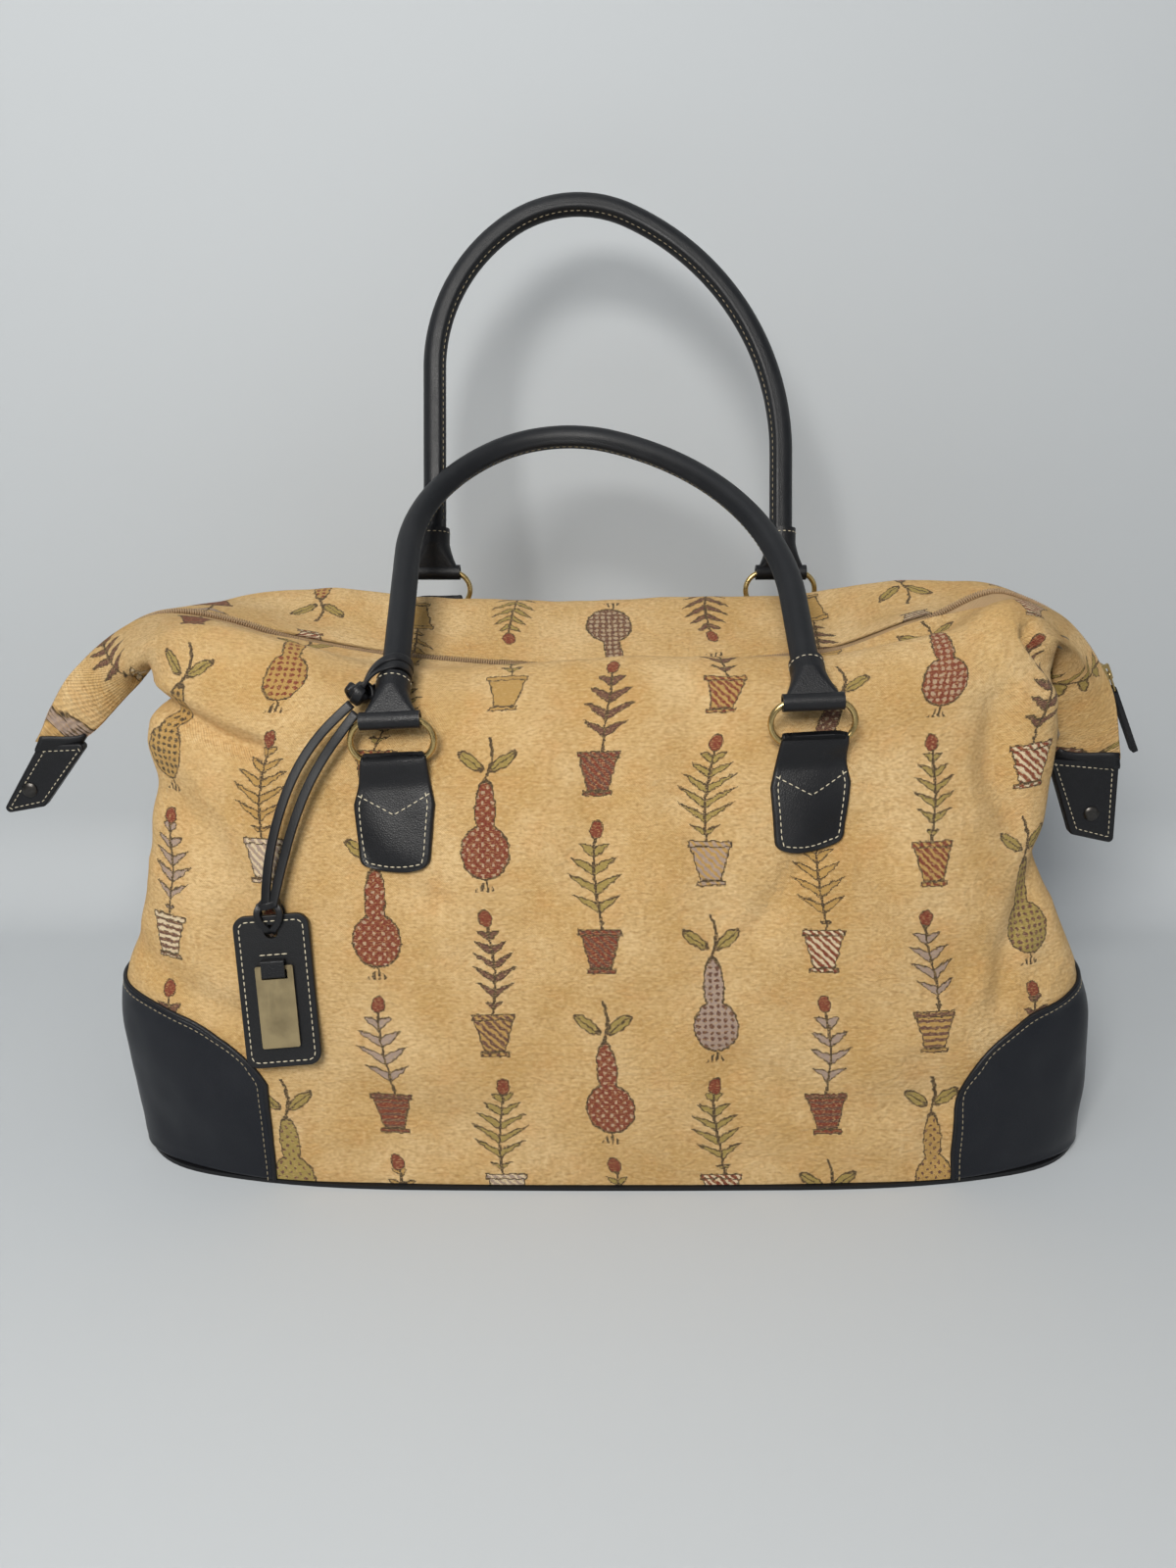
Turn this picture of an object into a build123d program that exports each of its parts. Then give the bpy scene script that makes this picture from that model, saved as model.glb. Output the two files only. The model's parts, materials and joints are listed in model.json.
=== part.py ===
from build123d import *
import os
from math import acos, cos, degrees, hypot, radians, sin

# Soft weekend bag of woven canvas with black leather trim. Millimetres.
# X runs along the bag, to the right seen from its front, Y to its back and Z up.
# The origin is the middle of the base, on the surface that the bag stands on.

# Base
base_width = 497.0
base_depth = 208.0
base_bow = 16.0
leather_base_thickness = 2.2
leather_base_margin = 1.6
board_thickness = 3.0
board_margin = 5.5

# Canvas body: heights of the sewn sheet's rows above the base
canvas_thickness = 1.5
lining_thickness = 0.7
patch_row_height = 80.0
waist_row_height = 150.0
tab_row_height = 215.0
patch_row_width = 500.0
waist_width = 452.0
tab_row_width = 448.0
front_patch_row_depth = 111.0
front_waist_depth = 95.0
front_tab_row_depth = 68.0
back_patch_row_depth = 109.0
back_waist_depth = 96.0
back_tab_row_depth = 80.0
corner_fall = 18.0
side_tuck = 6.0
body_lean_left = 8.0

# Ridges, the valley between them and the wings that hold the ends of the zip
front_shoulder = (50.0, 241.0)
front_crest = (30.0, 253.0)
back_shoulder = (66.0, 250.0)
back_crest = (51.0, 265.0)
valley_height = 238.0
handle_dip = {(-1, -1): (8.0, 9.8, 4.5), (1, -1): (0.5, 1.5, 0.5)}
zip_half_gap = 5.8
seam_gap = 0.4
left_notch = (238.0, 241.0)
left_cap_low = (284.0, 199.5)
left_cap_high = (307.0, 198.0)
right_notch = (229.0, 249.0)
right_cap_low = (239.0, 191.5)
right_cap_high = (272.0, 188.5)
wing_half_thickness = 23.0

# Zip: its slider runs on a round stretch over the right wing
zip_arc_centre = (187.0, 200.0)
zip_arc_radius = 79.0
zip_arc_start_deg = 84.0
zip_arc_end_deg = 8.0
slider_deg = 26.0
tape_half_width = 4.6
tape_thickness = 0.7
zip_slit = 1.0
coil_width = 2.2
coil_height = 1.7
slider_length = 12.0
slider_half_width = 3.9
slider_wall = 1.1
slider_gap = 0.3
pull_strap_length = 40.0
pull_strap_width = 6.5
pull_strap_thickness = 2.4

# Leather corner patches
patch_thickness = 1.3
soft_gap = 0.3
lining_gap = 1.1
patch_inner_x = 175.0
patch_edge_height = 46.0
patch_shoulder_x = 192.0
patch_shoulder_height = 68.0
patch_side_height = 92.0

# Anchor tabs and rings
ring_wire = 3.0
ring_width = 40.0
ring_height = 20.0
ring_spacing = 200.0
pin_clearance = 0.08
tab_roll_radius = 3.9
tab_roll_width = 26.0
tab_neck_width = 33.0
tab_width = 39.0
tab_foot_width = 33.0
tab_length = 50.0
tab_thickness = 2.2
front_anchor = (-6.0, -73.6, 217.0)
front_anchor_tilt_deg = 2.6
front_ring_lean_deg = 4.0
back_anchor = (-1.5, 74.4, 255.5)
back_ring_lean_deg = 6.0

# Handles: rolled leather tubes with a sewn ridge on the inside of the arch
tube_diameter = 13.0
seam_ridge_height = 3.2
seam_ridge_width = 3.4
handle_rise = 212.0
handle_sway = 17.0
handle_top_radius = 70.0
handle_left_radius = 100.0
handle_right_radius = 150.0
front_handle_lean_deg = 58.0
back_handle_lean_deg = 20.0
chape_roll_radius = 4.3
chape_roll_width = 29.0
chape_sleeve_diameter = 17.0
chape_length = 25.0
chape_throat = 14.5

# Luggage tag on its lace
tag_width = 36.0
tag_length = 76.0
tag_thickness = 3.0
tag_corner = 6.0
tag_hole_radius = 3.4
tag_lean_deg = 12.0
tag_turn_deg = 3.5
tag_yaw_deg = -4.0
tag_hang = (-164.8, -100.3, 135.5)
lace_width = 4.6
knot_radius = 6.8
knot_place = (-123.2, -58.0, 241.5)
plate_width = 18.0
plate_length = 41.0
plate_thickness = 1.2
loop_width = 11.0

# Press studs
stud_radius = 4.2
cap_half_thickness = 3.4

# Stations along a row of the sheet, from the middle to the side seam,
# and levels of the rows from the base to the zip
STATIONS = (0.0, 0.33, 0.52, 0.70, 0.86, 1.0)
LEVELS = (0.0, 0.25, 0.47, 0.68, 0.79, 0.86, 0.93, 1.0)


def along(params, values, t):
    """Smooth curve through values at params, read at t."""
    last = len(params) - 1
    i = 0
    while i < last - 1 and t > params[i + 1]:
        i += 1
    span = params[i + 1] - params[i]
    u = (t - params[i]) / span

    def slope(k):
        if k == 0:
            return (values[1] - values[0]) / (params[1] - params[0])
        if k == last:
            return (values[last] - values[last - 1]) / (params[last] - params[last - 1])
        return (values[k + 1] - values[k - 1]) / (params[k + 1] - params[k - 1])

    h00 = (1 + 2 * u) * (1 - u) ** 2
    h10 = u * (1 - u) ** 2
    h01 = u * u * (3 - 2 * u)
    h11 = u * u * (u - 1)
    return (h00 * values[i] + h10 * span * slope(i)
            + h01 * values[i + 1] + h11 * span * slope(i + 1))


def along_points(params, points, t):
    return tuple(along(params, [p[k] for p in points], t) for k in range(3))


def zip_arc_point(angle_deg):
    a = radians(angle_deg)
    return (zip_arc_centre[0] + zip_arc_radius * cos(a), zip_arc_centre[1] + zip_arc_radius * sin(a))


def zip_guides():
    """Points of the zip's line from the left cap to the right one, in X and Z."""
    peak = valley_height + 30.0
    left = [(-left_cap_high[0], left_cap_high[1]), (-299.0, 215.0), (-277.0, peak - 26.0),
            (-254.0, peak - 9.0), (-229.0, peak), (-200.0, peak - 4.0), (-155.0, peak - 18.0)]
    middle = [(-80.0, valley_height + 4.0), (0.0, valley_height), (80.0, valley_height + 5.0),
              (140.0, valley_height + 14.0), (168.0, valley_height + 28.0)]
    arc = [zip_arc_point(a) for a in (84, 69, 54, 39, 24, zip_arc_end_deg)]
    return left + middle + arc + [(right_cap_high[0], right_cap_high[1])]


def zip_line(steps=110):
    """Evenly read points of the zip's line with the outward normal at each."""
    guides = zip_guides()
    reach = [0.0]
    for a, b in zip(guides, guides[1:]):
        reach.append(reach[-1] + hypot(b[0] - a[0], b[1] - a[1]))
    line = []
    for k in range(steps + 1):
        t = reach[-1] * k / steps
        line.append(tuple(along(reach, [g[c] for g in guides], t) for c in (0, 1)))
    out = []
    for k, p in enumerate(line):
        a = line[max(k - 1, 0)]
        b = line[min(k + 1, steps)]
        size = hypot(b[0] - a[0], b[1] - a[1])
        out.append((p[0], p[1], -(b[1] - a[1]) / size, (b[0] - a[0]) / size))
    return out


ZIP = zip_line()
ZIP_MIDDLE = min(range(len(ZIP)), key=lambda k: abs(ZIP[k][0]))


def zip_read(side, share, lift):
    """Point at a share of the way from the middle to a side's end, lifted off the line."""
    span = ZIP_MIDDLE if side < 0 else len(ZIP) - 1 - ZIP_MIDDLE
    place = ZIP_MIDDLE + side * share * span
    k = min(int(place), len(ZIP) - 2)
    u = place - k
    x, z, nx, nz = (a + u * (b - a) for a, b in zip(ZIP[k], ZIP[k + 1]))
    return (x + nx * lift, z + nz * lift)


def wall_row(side, height, width, depth, lean):
    """Stations of one level row of the wall, from the middle of the front to the side seam."""
    half = width / 2
    corner = depth - corner_fall
    tuck = side_tuck if height > patch_row_height else 0.0
    flat = [(0.0, depth), (0.45 * half, depth - 0.08 * corner_fall), (0.74 * half, depth - 0.4 * corner_fall),
            (0.97 * half, 0.87 * corner), (half, 0.45 * corner), (half - tuck, seam_gap)]
    return [(side * x - lean, y, height) for x, y in flat]


def top_rows(side, shoulder, crest, dip=(0.0, 0.0, 0.0)):
    """Rows of the shoulder, the crest, the valley's slope and the zip, with the wing at their end.

    dip lowers those three rows under the place where a handle lies on the cloth.
    """
    if side < 0:
        notch, low, swell = left_notch, left_cap_low, (234.0, 246.0)
        lift = (0.0, 1.0, 6.0, 9.0)
        flank, tip = (246.0, 246.0), (262.0, 242.0)
        corner = (213.0, 251.0, 212.0, 265.0, 216.0, 268.0)
    else:
        notch, low, swell = right_notch, right_cap_low, (223.0, 256.0)
        lift = (0.0, 2.0, 11.0, 15.0)
        flank, tip = (237.0, 250.0), (252.0, 234.0)
        corner = (205.0, 257.0, 199.0, 273.0, 206.0, 277.5)
    half = wing_half_thickness
    under = (notch[0] + 0.4 * (low[0] - notch[0]), notch[1] + 0.4 * (low[1] - notch[1]))
    slope_depth, slope_height = crest[0] * 0.48, (crest[1] + valley_height) / 2
    rows = [
        [(0, shoulder[0], shoulder[1]), (106, shoulder[0], shoulder[1] + lift[1] - dip[0]),
         (169, shoulder[0] - 3, shoulder[1] + lift[2]), (corner[0], 0.55 * shoulder[0] + 10, corner[1]),
         (swell[0], half - 1, swell[1]), (notch[0], seam_gap, notch[1])],
        [(0, crest[0], crest[1]), (106, crest[0], crest[1] + lift[1] - dip[1]),
         (165, crest[0], max(crest[1] + lift[2], crest[1])), (corner[2], 0.45 * crest[0] + 14, corner[3]),
         (flank[0], half - 7, flank[1]), (under[0], seam_gap, under[1])],
        [(0, slope_depth, slope_height), (106, slope_depth, slope_height + 3 - dip[2]),
         (162, slope_depth + 1, slope_height + lift[3]), (corner[4], slope_depth + 2, corner[5]),
         (tip[0], half - 12, tip[1]), (low[0], seam_gap, low[1])],
    ]
    edge = []
    for share in STATIONS:
        x, z = zip_read(side, share, canvas_thickness + 0.4)
        edge.append((side * x, zip_half_gap, z))
    rows.append(edge)
    return [[(side * x, y, z) for x, y, z in row] for row in rows]


def half_rows(side, face):
    """The eight rows of one side of one sheet; face is -1 for the front and 1 for the back."""
    if face < 0:
        depths = (front_patch_row_depth, front_waist_depth, front_tab_row_depth)
        shoulder, crest = front_shoulder, front_crest
    else:
        depths = (back_patch_row_depth, back_waist_depth, back_tab_row_depth)
        shoulder, crest = back_shoulder, back_crest
    lean = body_lean_left
    floor = leather_base_thickness + soft_gap
    rows = [wall_row(side, floor, base_width, base_depth / 2 + base_bow, 0.0),
            wall_row(side, patch_row_height, patch_row_width, depths[0], 0.6 * lean),
            wall_row(side, waist_row_height, waist_width, depths[1], lean),
            wall_row(side, tab_row_height, tab_row_width, depths[2], lean)]
    rows += top_rows(side, shoulder, crest, handle_dip.get((side, face), (0.0, 0.0, 0.0)))
    return [[(x, face * y, z) for x, y, z in row] for row in rows]


SHEET = {(side, face): half_rows(side, face) for side in (-1, 1) for face in (-1, 1)}
ALL_STATIONS = [-s for s in reversed(STATIONS[1:])] + list(STATIONS)


def full_rows(face):
    rows = []
    for left, right in zip(SHEET[(-1, face)], SHEET[(1, face)]):
        middle = tuple((a + b) / 2 for a, b in zip(left[0], right[0]))
        rows.append(list(reversed(left[1:])) + [middle] + right[1:])
    return rows


ROWS = {face: full_rows(face) for face in (-1, 1)}


def sheet_point(face, s, t):
    """Point of the canvas's outer face: s from -1 to 1 along it, t from the base to the zip."""
    column = [along_points(ALL_STATIONS, row, s) for row in ROWS[face]]
    return along_points(LEVELS, column, t)


def sheet_normal(face, s, t):
    step = 0.004
    s0, s1 = max(s - step, -1.0), min(s + step, 1.0)
    t0, t1 = max(t - step, 0.0), min(t + step, 1.0)
    across = Vector(*sheet_point(face, s1, t)) - Vector(*sheet_point(face, s0, t))
    up = Vector(*sheet_point(face, s, t1)) - Vector(*sheet_point(face, s, t0))
    return across.cross(up).normalized() * (-face)


def lifted(face, s, t, lift):
    """Point at a distance outside the canvas's outer face."""
    normal = sheet_normal(face, s, t)
    if t < 0.02 or abs(s) > 0.999:
        normal = Vector(normal.X, normal.Y if t < 0.02 else 0.0, 0.0 if t < 0.02 else normal.Z).normalized()
    return Vector(*sheet_point(face, s, t)) + normal * lift


def spread(low, high, count):
    return [low + (high - low) * k / (count - 1) for k in range(count)]


def slopes(params, points):
    """Slope at each of a row of points: central inside the row, one-sided at its ends."""
    last = len(points) - 1
    out = []
    for k in range(last + 1):
        a, b = max(k - 1, 0), min(k + 1, last)
        out.append((points[b] - points[a]) / (params[b] - params[a]))
    return out


def transposed(grid):
    return [list(column) for column in zip(*grid)]


def bezier_run(params, points):
    """Bezier points of the smooth line through a row of points, four to a span."""
    slope = slopes(params, points)
    runs = []
    for k in range(len(points) - 1):
        third = (params[k + 1] - params[k]) / 3
        runs.append([points[k], points[k] + slope[k] * third, points[k + 1] - slope[k + 1] * third, points[k + 1]])
    return runs


def quilt(s_list, t_list, grid, s_cells, t_cells):
    """Smooth patches through a grid of points, one patch to a chosen cell."""
    along_t = [bezier_run(t_list, row) for row in grid]
    faces = []
    for j in t_cells:
        lines = [bezier_run(s_list, [along_t[i][j][k] for i in range(len(s_list))]) for k in range(4)]
        for i in s_cells:
            faces.append(Face.make_bezier_surface([lines[k][i] for k in range(4)]))
    return faces


def rim(params, outer, inner, cells):
    """Narrow faces that close two sheets along one edge."""
    pairs = list(zip(bezier_run(params, outer), bezier_run(params, inner)))
    return [Face.make_surface_from_curves(Edge.make_bezier(*pairs[k][0]), Edge.make_bezier(*pairs[k][1]))
            for k in cells]


def sheet_solid(sheet_at, s_list, t_list, inner_lift, outer_lift, s_cells=None, t_cells=None):
    """Thin curved solid between two lifts of a sheet, over all cells of a grid or a block of them."""
    s_cells = s_cells or range(len(s_list) - 1)
    t_cells = t_cells or range(len(t_list) - 1)
    outer, inner = ([[sheet_at(s, t, lift) for t in t_list] for s in s_list] for lift in (outer_lift, inner_lift))
    faces = quilt(s_list, t_list, outer, s_cells, t_cells) + quilt(s_list, t_list, inner, s_cells, t_cells)
    for k in (s_cells[0], s_cells[-1] + 1):
        faces += rim(t_list, outer[k], inner[k], t_cells)
    for k in (t_cells[0], t_cells[-1] + 1):
        faces += rim(s_list, transposed(outer)[k], transposed(inner)[k], s_cells)
    return Solid(Shell(faces))


def canvas_panel(face):
    return sheet_solid(lambda s, t, lift: lifted(face, s, t, lift), ALL_STATIONS, LEVELS, -canvas_thickness, 0.0)


def around_side(side, s, t, lift):
    """Point of the body round one end: s runs from -1 at the front's middle to 1 at the back's, 0 at the seam."""
    seam_share = 1.0 - abs(s)
    if seam_share > 0.999:
        front = lifted(-1, side, t, lift)
        return Vector(front.X, 0.0, front.Z)
    return lifted(-1 if s < 0 else 1, side * seam_share, t, lift)


def prism(points, depth_low, depth_high, rounds=None):
    """Extrusion along Y of an outline given in X and Z."""
    line = FilletPolyline(*points, radius=rounds, close=True) if rounds else Polyline(*points, close=True)
    face = Plane.XZ * make_face(line)
    return Pos(0, depth_high, 0) * extrude(face, depth_high - depth_low)


def corner_patch(side):
    """Leather patch over one base corner, from the front round the end to the back."""
    stations = [s - 1.0 for s in STATIONS] + [1.0 - s for s in reversed(STATIONS[:-1])]
    wall = sheet_solid(lambda s, t, lift: around_side(side, s, t, lift), stations, LEVELS,
                       soft_gap, soft_gap + patch_thickness, range(1, 9), range(0, 2))
    far = base_width / 2 + 40
    with BuildLine() as outline:
        Line((patch_inner_x, -5), (patch_inner_x, patch_edge_height))
        Spline((patch_inner_x, patch_edge_height), (patch_shoulder_x, patch_shoulder_height),
               (base_width / 2, patch_side_height), tangents=((0, 1), (1, 0.1)))
        Line((base_width / 2, patch_side_height), (far, patch_side_height))
        Line((far, patch_side_height), (far, -5))
        Line((far, -5), (patch_inner_x, -5))
    cutter = extrude(Plane.XZ * make_face(outline.line), 200, both=True)
    if side < 0:
        cutter = mirror(cutter, Plane.YZ)
    return wall & cutter


def body_loop(t, lift, height=None):
    """Closed line round the body at one level."""
    stations = (0.0, 0.22, 0.40, 0.56, 0.66, 0.76, 0.88)
    points = []
    for face, direction in ((-1, 1), (1, -1)):
        run = [-s for s in reversed(stations[1:])] + list(stations)
        points += [lifted(face, direction * s, t, lift) for s in run]
        seam = lifted(face, direction, t, lift)
        points.append(Vector(seam.X, 0.0, seam.Z))
    if height is not None:
        points = [Vector(p.X, p.Y, height) for p in points]
    return Wire([Edge.make_spline(points, periodic=True)])


def plate(lift, low, high):
    outline = Face(body_loop(0.0, lift, low))
    return extrude(outline, high - low, dir=(0, 0, 1))


def lining(face):
    """Thin cloth sewn inside one panel, from the board up to the slope under the zip."""
    levels = (0.03,) + LEVELS[1:-1]
    outer_lift = -canvas_thickness - lining_gap
    return sheet_solid(lambda s, t, lift: lifted(face, s, t, lift), ALL_STATIONS, levels,
                       outer_lift - lining_thickness, outer_lift)


def zip_strip(low, high, near, far, face):
    """Strip along the zip on one side of its middle plane."""
    shares = spread(-1.0, 1.0, 61)
    upper, lower = ([zip_read(-1 if s < 0 else 1, abs(s), lift) for s in shares] for lift in (high, low))
    outline = Wire([Edge.make_spline([Vector(x, 0, z) for x, z in upper]),
                    Edge.make_line((upper[-1][0], 0, upper[-1][1]), (lower[-1][0], 0, lower[-1][1])),
                    Edge.make_spline([Vector(x, 0, z) for x, z in reversed(lower)]),
                    Edge.make_line((lower[0][0], 0, lower[0][1]), (upper[0][0], 0, upper[0][1]))])
    body = extrude(Face(outline), far - near, dir=(0, face, 0))
    return Pos(0, face * near, 0) * body


def slider_frame(angle_deg, lift):
    """Plane on the zip's round stretch: X down the zip, Y to the back and Z away from it."""
    a = radians(angle_deg)
    reach = zip_arc_radius + lift
    origin = (zip_arc_centre[0] + reach * cos(a), 0, zip_arc_centre[1] + reach * sin(a))
    return Plane(origin=origin, x_dir=(sin(a), 0, -cos(a)), z_dir=(cos(a), 0, sin(a)))


def zip_sector(low, high, half_width, length, offset=0.0, near=0.0):
    """Block bent round the zip's arc, centred on the slider's place."""
    span = degrees(length / zip_arc_radius)
    first = slider_deg - span / 2 + degrees(offset / zip_arc_radius)
    frame = slider_frame(first, (low + high) / 2)
    axis = Axis((zip_arc_centre[0], 0, zip_arc_centre[1]), (0, -1, 0))
    face = Plane(frame.origin, x_dir=frame.z_dir, z_dir=frame.x_dir) * Rectangle(high - low, 2 * half_width)
    return revolve(face, axis, span)


def zip_slider():
    """Slider: top plate with side flanges, thin web through the slit, lower plate and bridge."""
    top = coil_height + slider_gap
    floor = -tape_thickness - slider_gap
    body = zip_sector(top, top + slider_wall, slider_half_width, slider_length)
    flanges = zip_sector(slider_gap, top + 0.1, slider_half_width, slider_length)
    flanges -= zip_sector(0, top, slider_half_width - 1.0, slider_length + 4)
    web = zip_sector(floor - 0.2, top + 0.2, (zip_slit - 0.4) / 2, 3.5)
    lower = zip_sector(floor - slider_wall, floor, slider_half_width, slider_length)
    bridge = zip_sector(top + 0.5, top + slider_wall + 3.0, 0.9, 8.0)
    bridge -= zip_sector(top + slider_wall, top + slider_wall + 2.0, 2.0, 4.4)
    return body + flanges + web + lower + bridge


BAIL_LIFT = coil_height + slider_gap + slider_wall + 1.0
BAIL_FRAME = slider_frame(slider_deg, BAIL_LIFT)


def pull_bail():
    """Small wire loop through the slider's bridge."""
    wire_radius = 0.6
    path = Wire(FilletPolyline((0, -3.6), (0, 3.6), (11, 2.6), (11, -2.6), radius=1.0, close=True).edges())
    start = Plane(path.position_at(0.02), z_dir=path.tangent_at(0.02))
    loop = sweep(start * Circle(wire_radius), path=path)
    return BAIL_FRAME * loop


def pull_strap():
    """Leather strip folded over the far end of the wire loop."""
    strip = Pos(11 - 2.2 + pull_strap_length / 2, 0, 0) * Box(
        pull_strap_length, pull_strap_width, pull_strap_thickness)
    strip = fillet(strip.edges().filter_by(Axis.Z), 1.2)
    eye = Pos(11, 0, 0) * Rot(90, 0, 0) * Cylinder(0.6 + pin_clearance, pull_strap_width + 2)
    groove = Pos(8.6, 0, 0) * Box(4.4, pull_strap_width + 2, 1.3)
    return BAIL_FRAME * (strip - eye - groove)


def wing_cap(side):
    """Folded leather end of one wing."""
    gap = 1.0
    if side < 0:
        points = [(-309.5, 197.3 - gap), (-282.5, 198.5 - gap), (-311.5, 161.0), (-336.0, 156.5)]
    else:
        points = [(236.5, 190.0 - gap), (275.0, 187.1 - gap), (279.0, 139.0), (254.5, 144.5)]
    flat = prism(points, -cap_half_thickness, cap_half_thickness, 2.5)
    return fillet(flat.edges().group_by(Axis.Y)[0] + flat.edges().group_by(Axis.Y)[-1], 1.0)


def press_stud(side):
    """Domed button of a press stud on the front of a cap."""
    x, z = (-318.0, 171.0) if side < 0 else (264.0, 157.0)
    with BuildSketch(Plane.XY) as profile:
        with BuildLine():
            Line((0, 0), (stud_radius, 0))
            Line((stud_radius, 0), (stud_radius, 0.6))
            Spline((stud_radius, 0.6), (0.7 * stud_radius, 1.35), (0, 1.6))
            Line((0, 1.6), (0, 0))
        make_face()
    dome = revolve(profile.sketch, Axis.Y, 360)
    return Pos(x, -cap_half_thickness, z) * Rot(180, 0, 0) * dome


def lean_plane(origin, tilt_deg, lean_deg):
    """Plane with X along a ring's bar and Y up the ring or handle, leaning to the back."""
    tilt, lean = radians(tilt_deg), radians(lean_deg)
    across = Vector(cos(tilt), 0, sin(tilt))
    up = Vector(-sin(tilt) * cos(lean), sin(lean), cos(tilt) * cos(lean))
    return Plane(origin=origin, x_dir=across, z_dir=across.cross(up))


class Side:
    """Placing of the rings, tabs and handle on the front or the back of the bag."""

    def __init__(self, face, anchor, tilt_deg, ring_lean_deg, handle_lean_deg):
        self.face = face
        self.anchor = lean_plane(anchor, tilt_deg, ring_lean_deg)
        bar = self.anchor.from_local_coords(Vector(0, ring_height, 0))
        self.handle = lean_plane(bar, tilt_deg, handle_lean_deg)

    def ring_plane(self, side):
        place = self.anchor.from_local_coords(Vector(side * ring_spacing / 2, 0, 0))
        return Plane(origin=place, x_dir=self.anchor.x_dir, z_dir=self.anchor.z_dir)

    def leg_plane(self, side):
        place = self.handle.from_local_coords(Vector(side * ring_spacing / 2, 0, 0))
        return Plane(origin=place, x_dir=self.handle.x_dir, z_dir=self.handle.z_dir)


FRONT = Side(-1, front_anchor, front_anchor_tilt_deg, front_ring_lean_deg, front_handle_lean_deg)
BACK = Side(1, back_anchor, 0.0, back_ring_lean_deg, back_handle_lean_deg)


def ring():
    """Oval wire ring standing on its lower bar's middle."""
    half = (ring_width - ring_height) / 2
    path = Wire(SlotOverall(ring_width, ring_height).face().outer_wire().edges())
    start = Plane(path.position_at(0.05), z_dir=path.tangent_at(0.05))
    hoop = sweep(start * Circle(ring_wire / 2), path=path)
    return Pos(0, ring_height / 2, 0) * hoop if half > 0 else hoop


def bore(width):
    """Hole along X for a ring's bar, wider towards its ends where the ring bends away."""
    radius = ring_wire / 2 + pin_clearance
    straight = (ring_width - ring_height) / 2 - 0.6
    hole = Rot(0, 90, 0) * Cylinder(radius, width + 4)
    for end in (-1, 1):
        mouth = Pos(end * (straight + 3.0), 0, 0) * Rot(0, 90 * end, 0) * Cone(radius, radius + 1.5, 6.0)
        hole += mouth
    return hole


def station_at(face, x, t):
    """Station at which one level of the sheet has a given X."""
    low, high = -1.0, 1.0
    for _ in range(30):
        middle = (low + high) / 2
        if sheet_point(face, middle, t)[0] < x:
            low = middle
        else:
            high = middle
    return (low + high) / 2


def anchor_tab(place, side):
    """Leather tab sewn to the canvas and rolled round a ring's lower bar."""
    base = place.ring_plane(side)
    x, y, z = base.origin
    face = place.face
    top_level = 0.70 if face < 0 else 0.77
    s_mid = station_at(face, x, top_level - 0.12)
    stations = [s_mid - 0.09 + 0.036 * k for k in range(6)]
    levels = [top_level - 0.06 * k for k in range(5)]
    leather = sheet_solid(lambda s, t, lift: lifted(face, s, t, lift), stations, levels[::-1],
                          soft_gap + 0.2, soft_gap + 0.2 + tab_thickness)
    half, neck, foot = tab_width / 2, tab_neck_width / 2, tab_foot_width / 2
    roll = tab_roll_width / 2
    drop = tab_length
    outline = [(x - roll, z - 2), (x + roll, z - 2), (x + neck, z - 9), (x + half, z - 0.42 * drop),
               (x + foot + 1, z - drop + 3), (x, z - drop), (x - foot - 1, z - drop + 3),
               (x - half, z - 0.42 * drop), (x - neck, z - 9)]
    flap = leather & prism(outline, -200, 200, 1.6)
    wall_low = lifted(face, s_mid, top_level - 0.10, 0.0)
    normal = sheet_normal(face, s_mid, top_level - 0.05)
    near = wall_low + normal * (soft_gap + 0.2)
    far = wall_low + normal * (soft_gap + tab_thickness)
    centre = Vector(0, y, z)
    turn = Vector(0, normal.Y, normal.Z).normalized()
    wedge = [centre + turn * tab_roll_radius, Vector(0, far.Y, far.Z), Vector(0, near.Y, near.Z),
             centre - turn * (tab_roll_radius * 0.8)]
    fold = extrude(Face(Wire.make_polygon(wedge, close=True)), tab_roll_width, dir=(1, 0, 0))
    fold = Pos(x - roll, 0, 0) * fold
    roll_body = base * (Rot(0, 90, 0) * Cylinder(tab_roll_radius, tab_roll_width))
    return flap + fold + roll_body - base * bore(tab_roll_width)


def leg_path(side, start):
    """One half of the handle's line from its leg up to the middle of the arch."""
    foot = side * ring_spacing / 2
    apex = -handle_sway
    run = abs(foot - apex)
    radius = handle_left_radius if side < 0 else handle_right_radius
    turn = acos((radius - run) / (radius - handle_top_radius))
    climb = radius * sin(turn) + handle_top_radius * (1 - sin(turn))
    leg_top = handle_rise - climb
    swing = degrees(turn)
    with BuildLine() as line:
        Line((foot, start), (foot, leg_top))
        JernArc(line.line @ 1, (0, 1), radius, side * swing)
        JernArc(line.line @ 1, line.line % 1, handle_top_radius, side * (90 - swing))
    return line.line


def handle_path(start):
    left, right = leg_path(-1, start), leg_path(1, start)
    return Wire(list(left.edges()) + list(right.edges()))


def handle_tube():
    """Rolled leather tube with its sewn ridge on the inside of the arch."""
    foot = -ring_spacing / 2
    path = handle_path(chape_throat)
    tube = sweep(Plane((foot, chape_throat, 0), x_dir=(1, 0, 0), z_dir=(0, 1, 0)) * Circle(tube_diameter / 2),
                 path=path)
    ridge_start = chape_length + 9.0
    reach = tube_diameter / 2 + seam_ridge_height
    profile = Pos(reach / 2 + 1.5, 0) * RectangleRounded(reach - 3.0, seam_ridge_width, 1.2)
    ridge = sweep(Plane((foot, ridge_start, 0), x_dir=(1, 0, 0), z_dir=(0, 1, 0)) * profile,
                  path=handle_path(ridge_start))
    return tube + ridge


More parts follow.
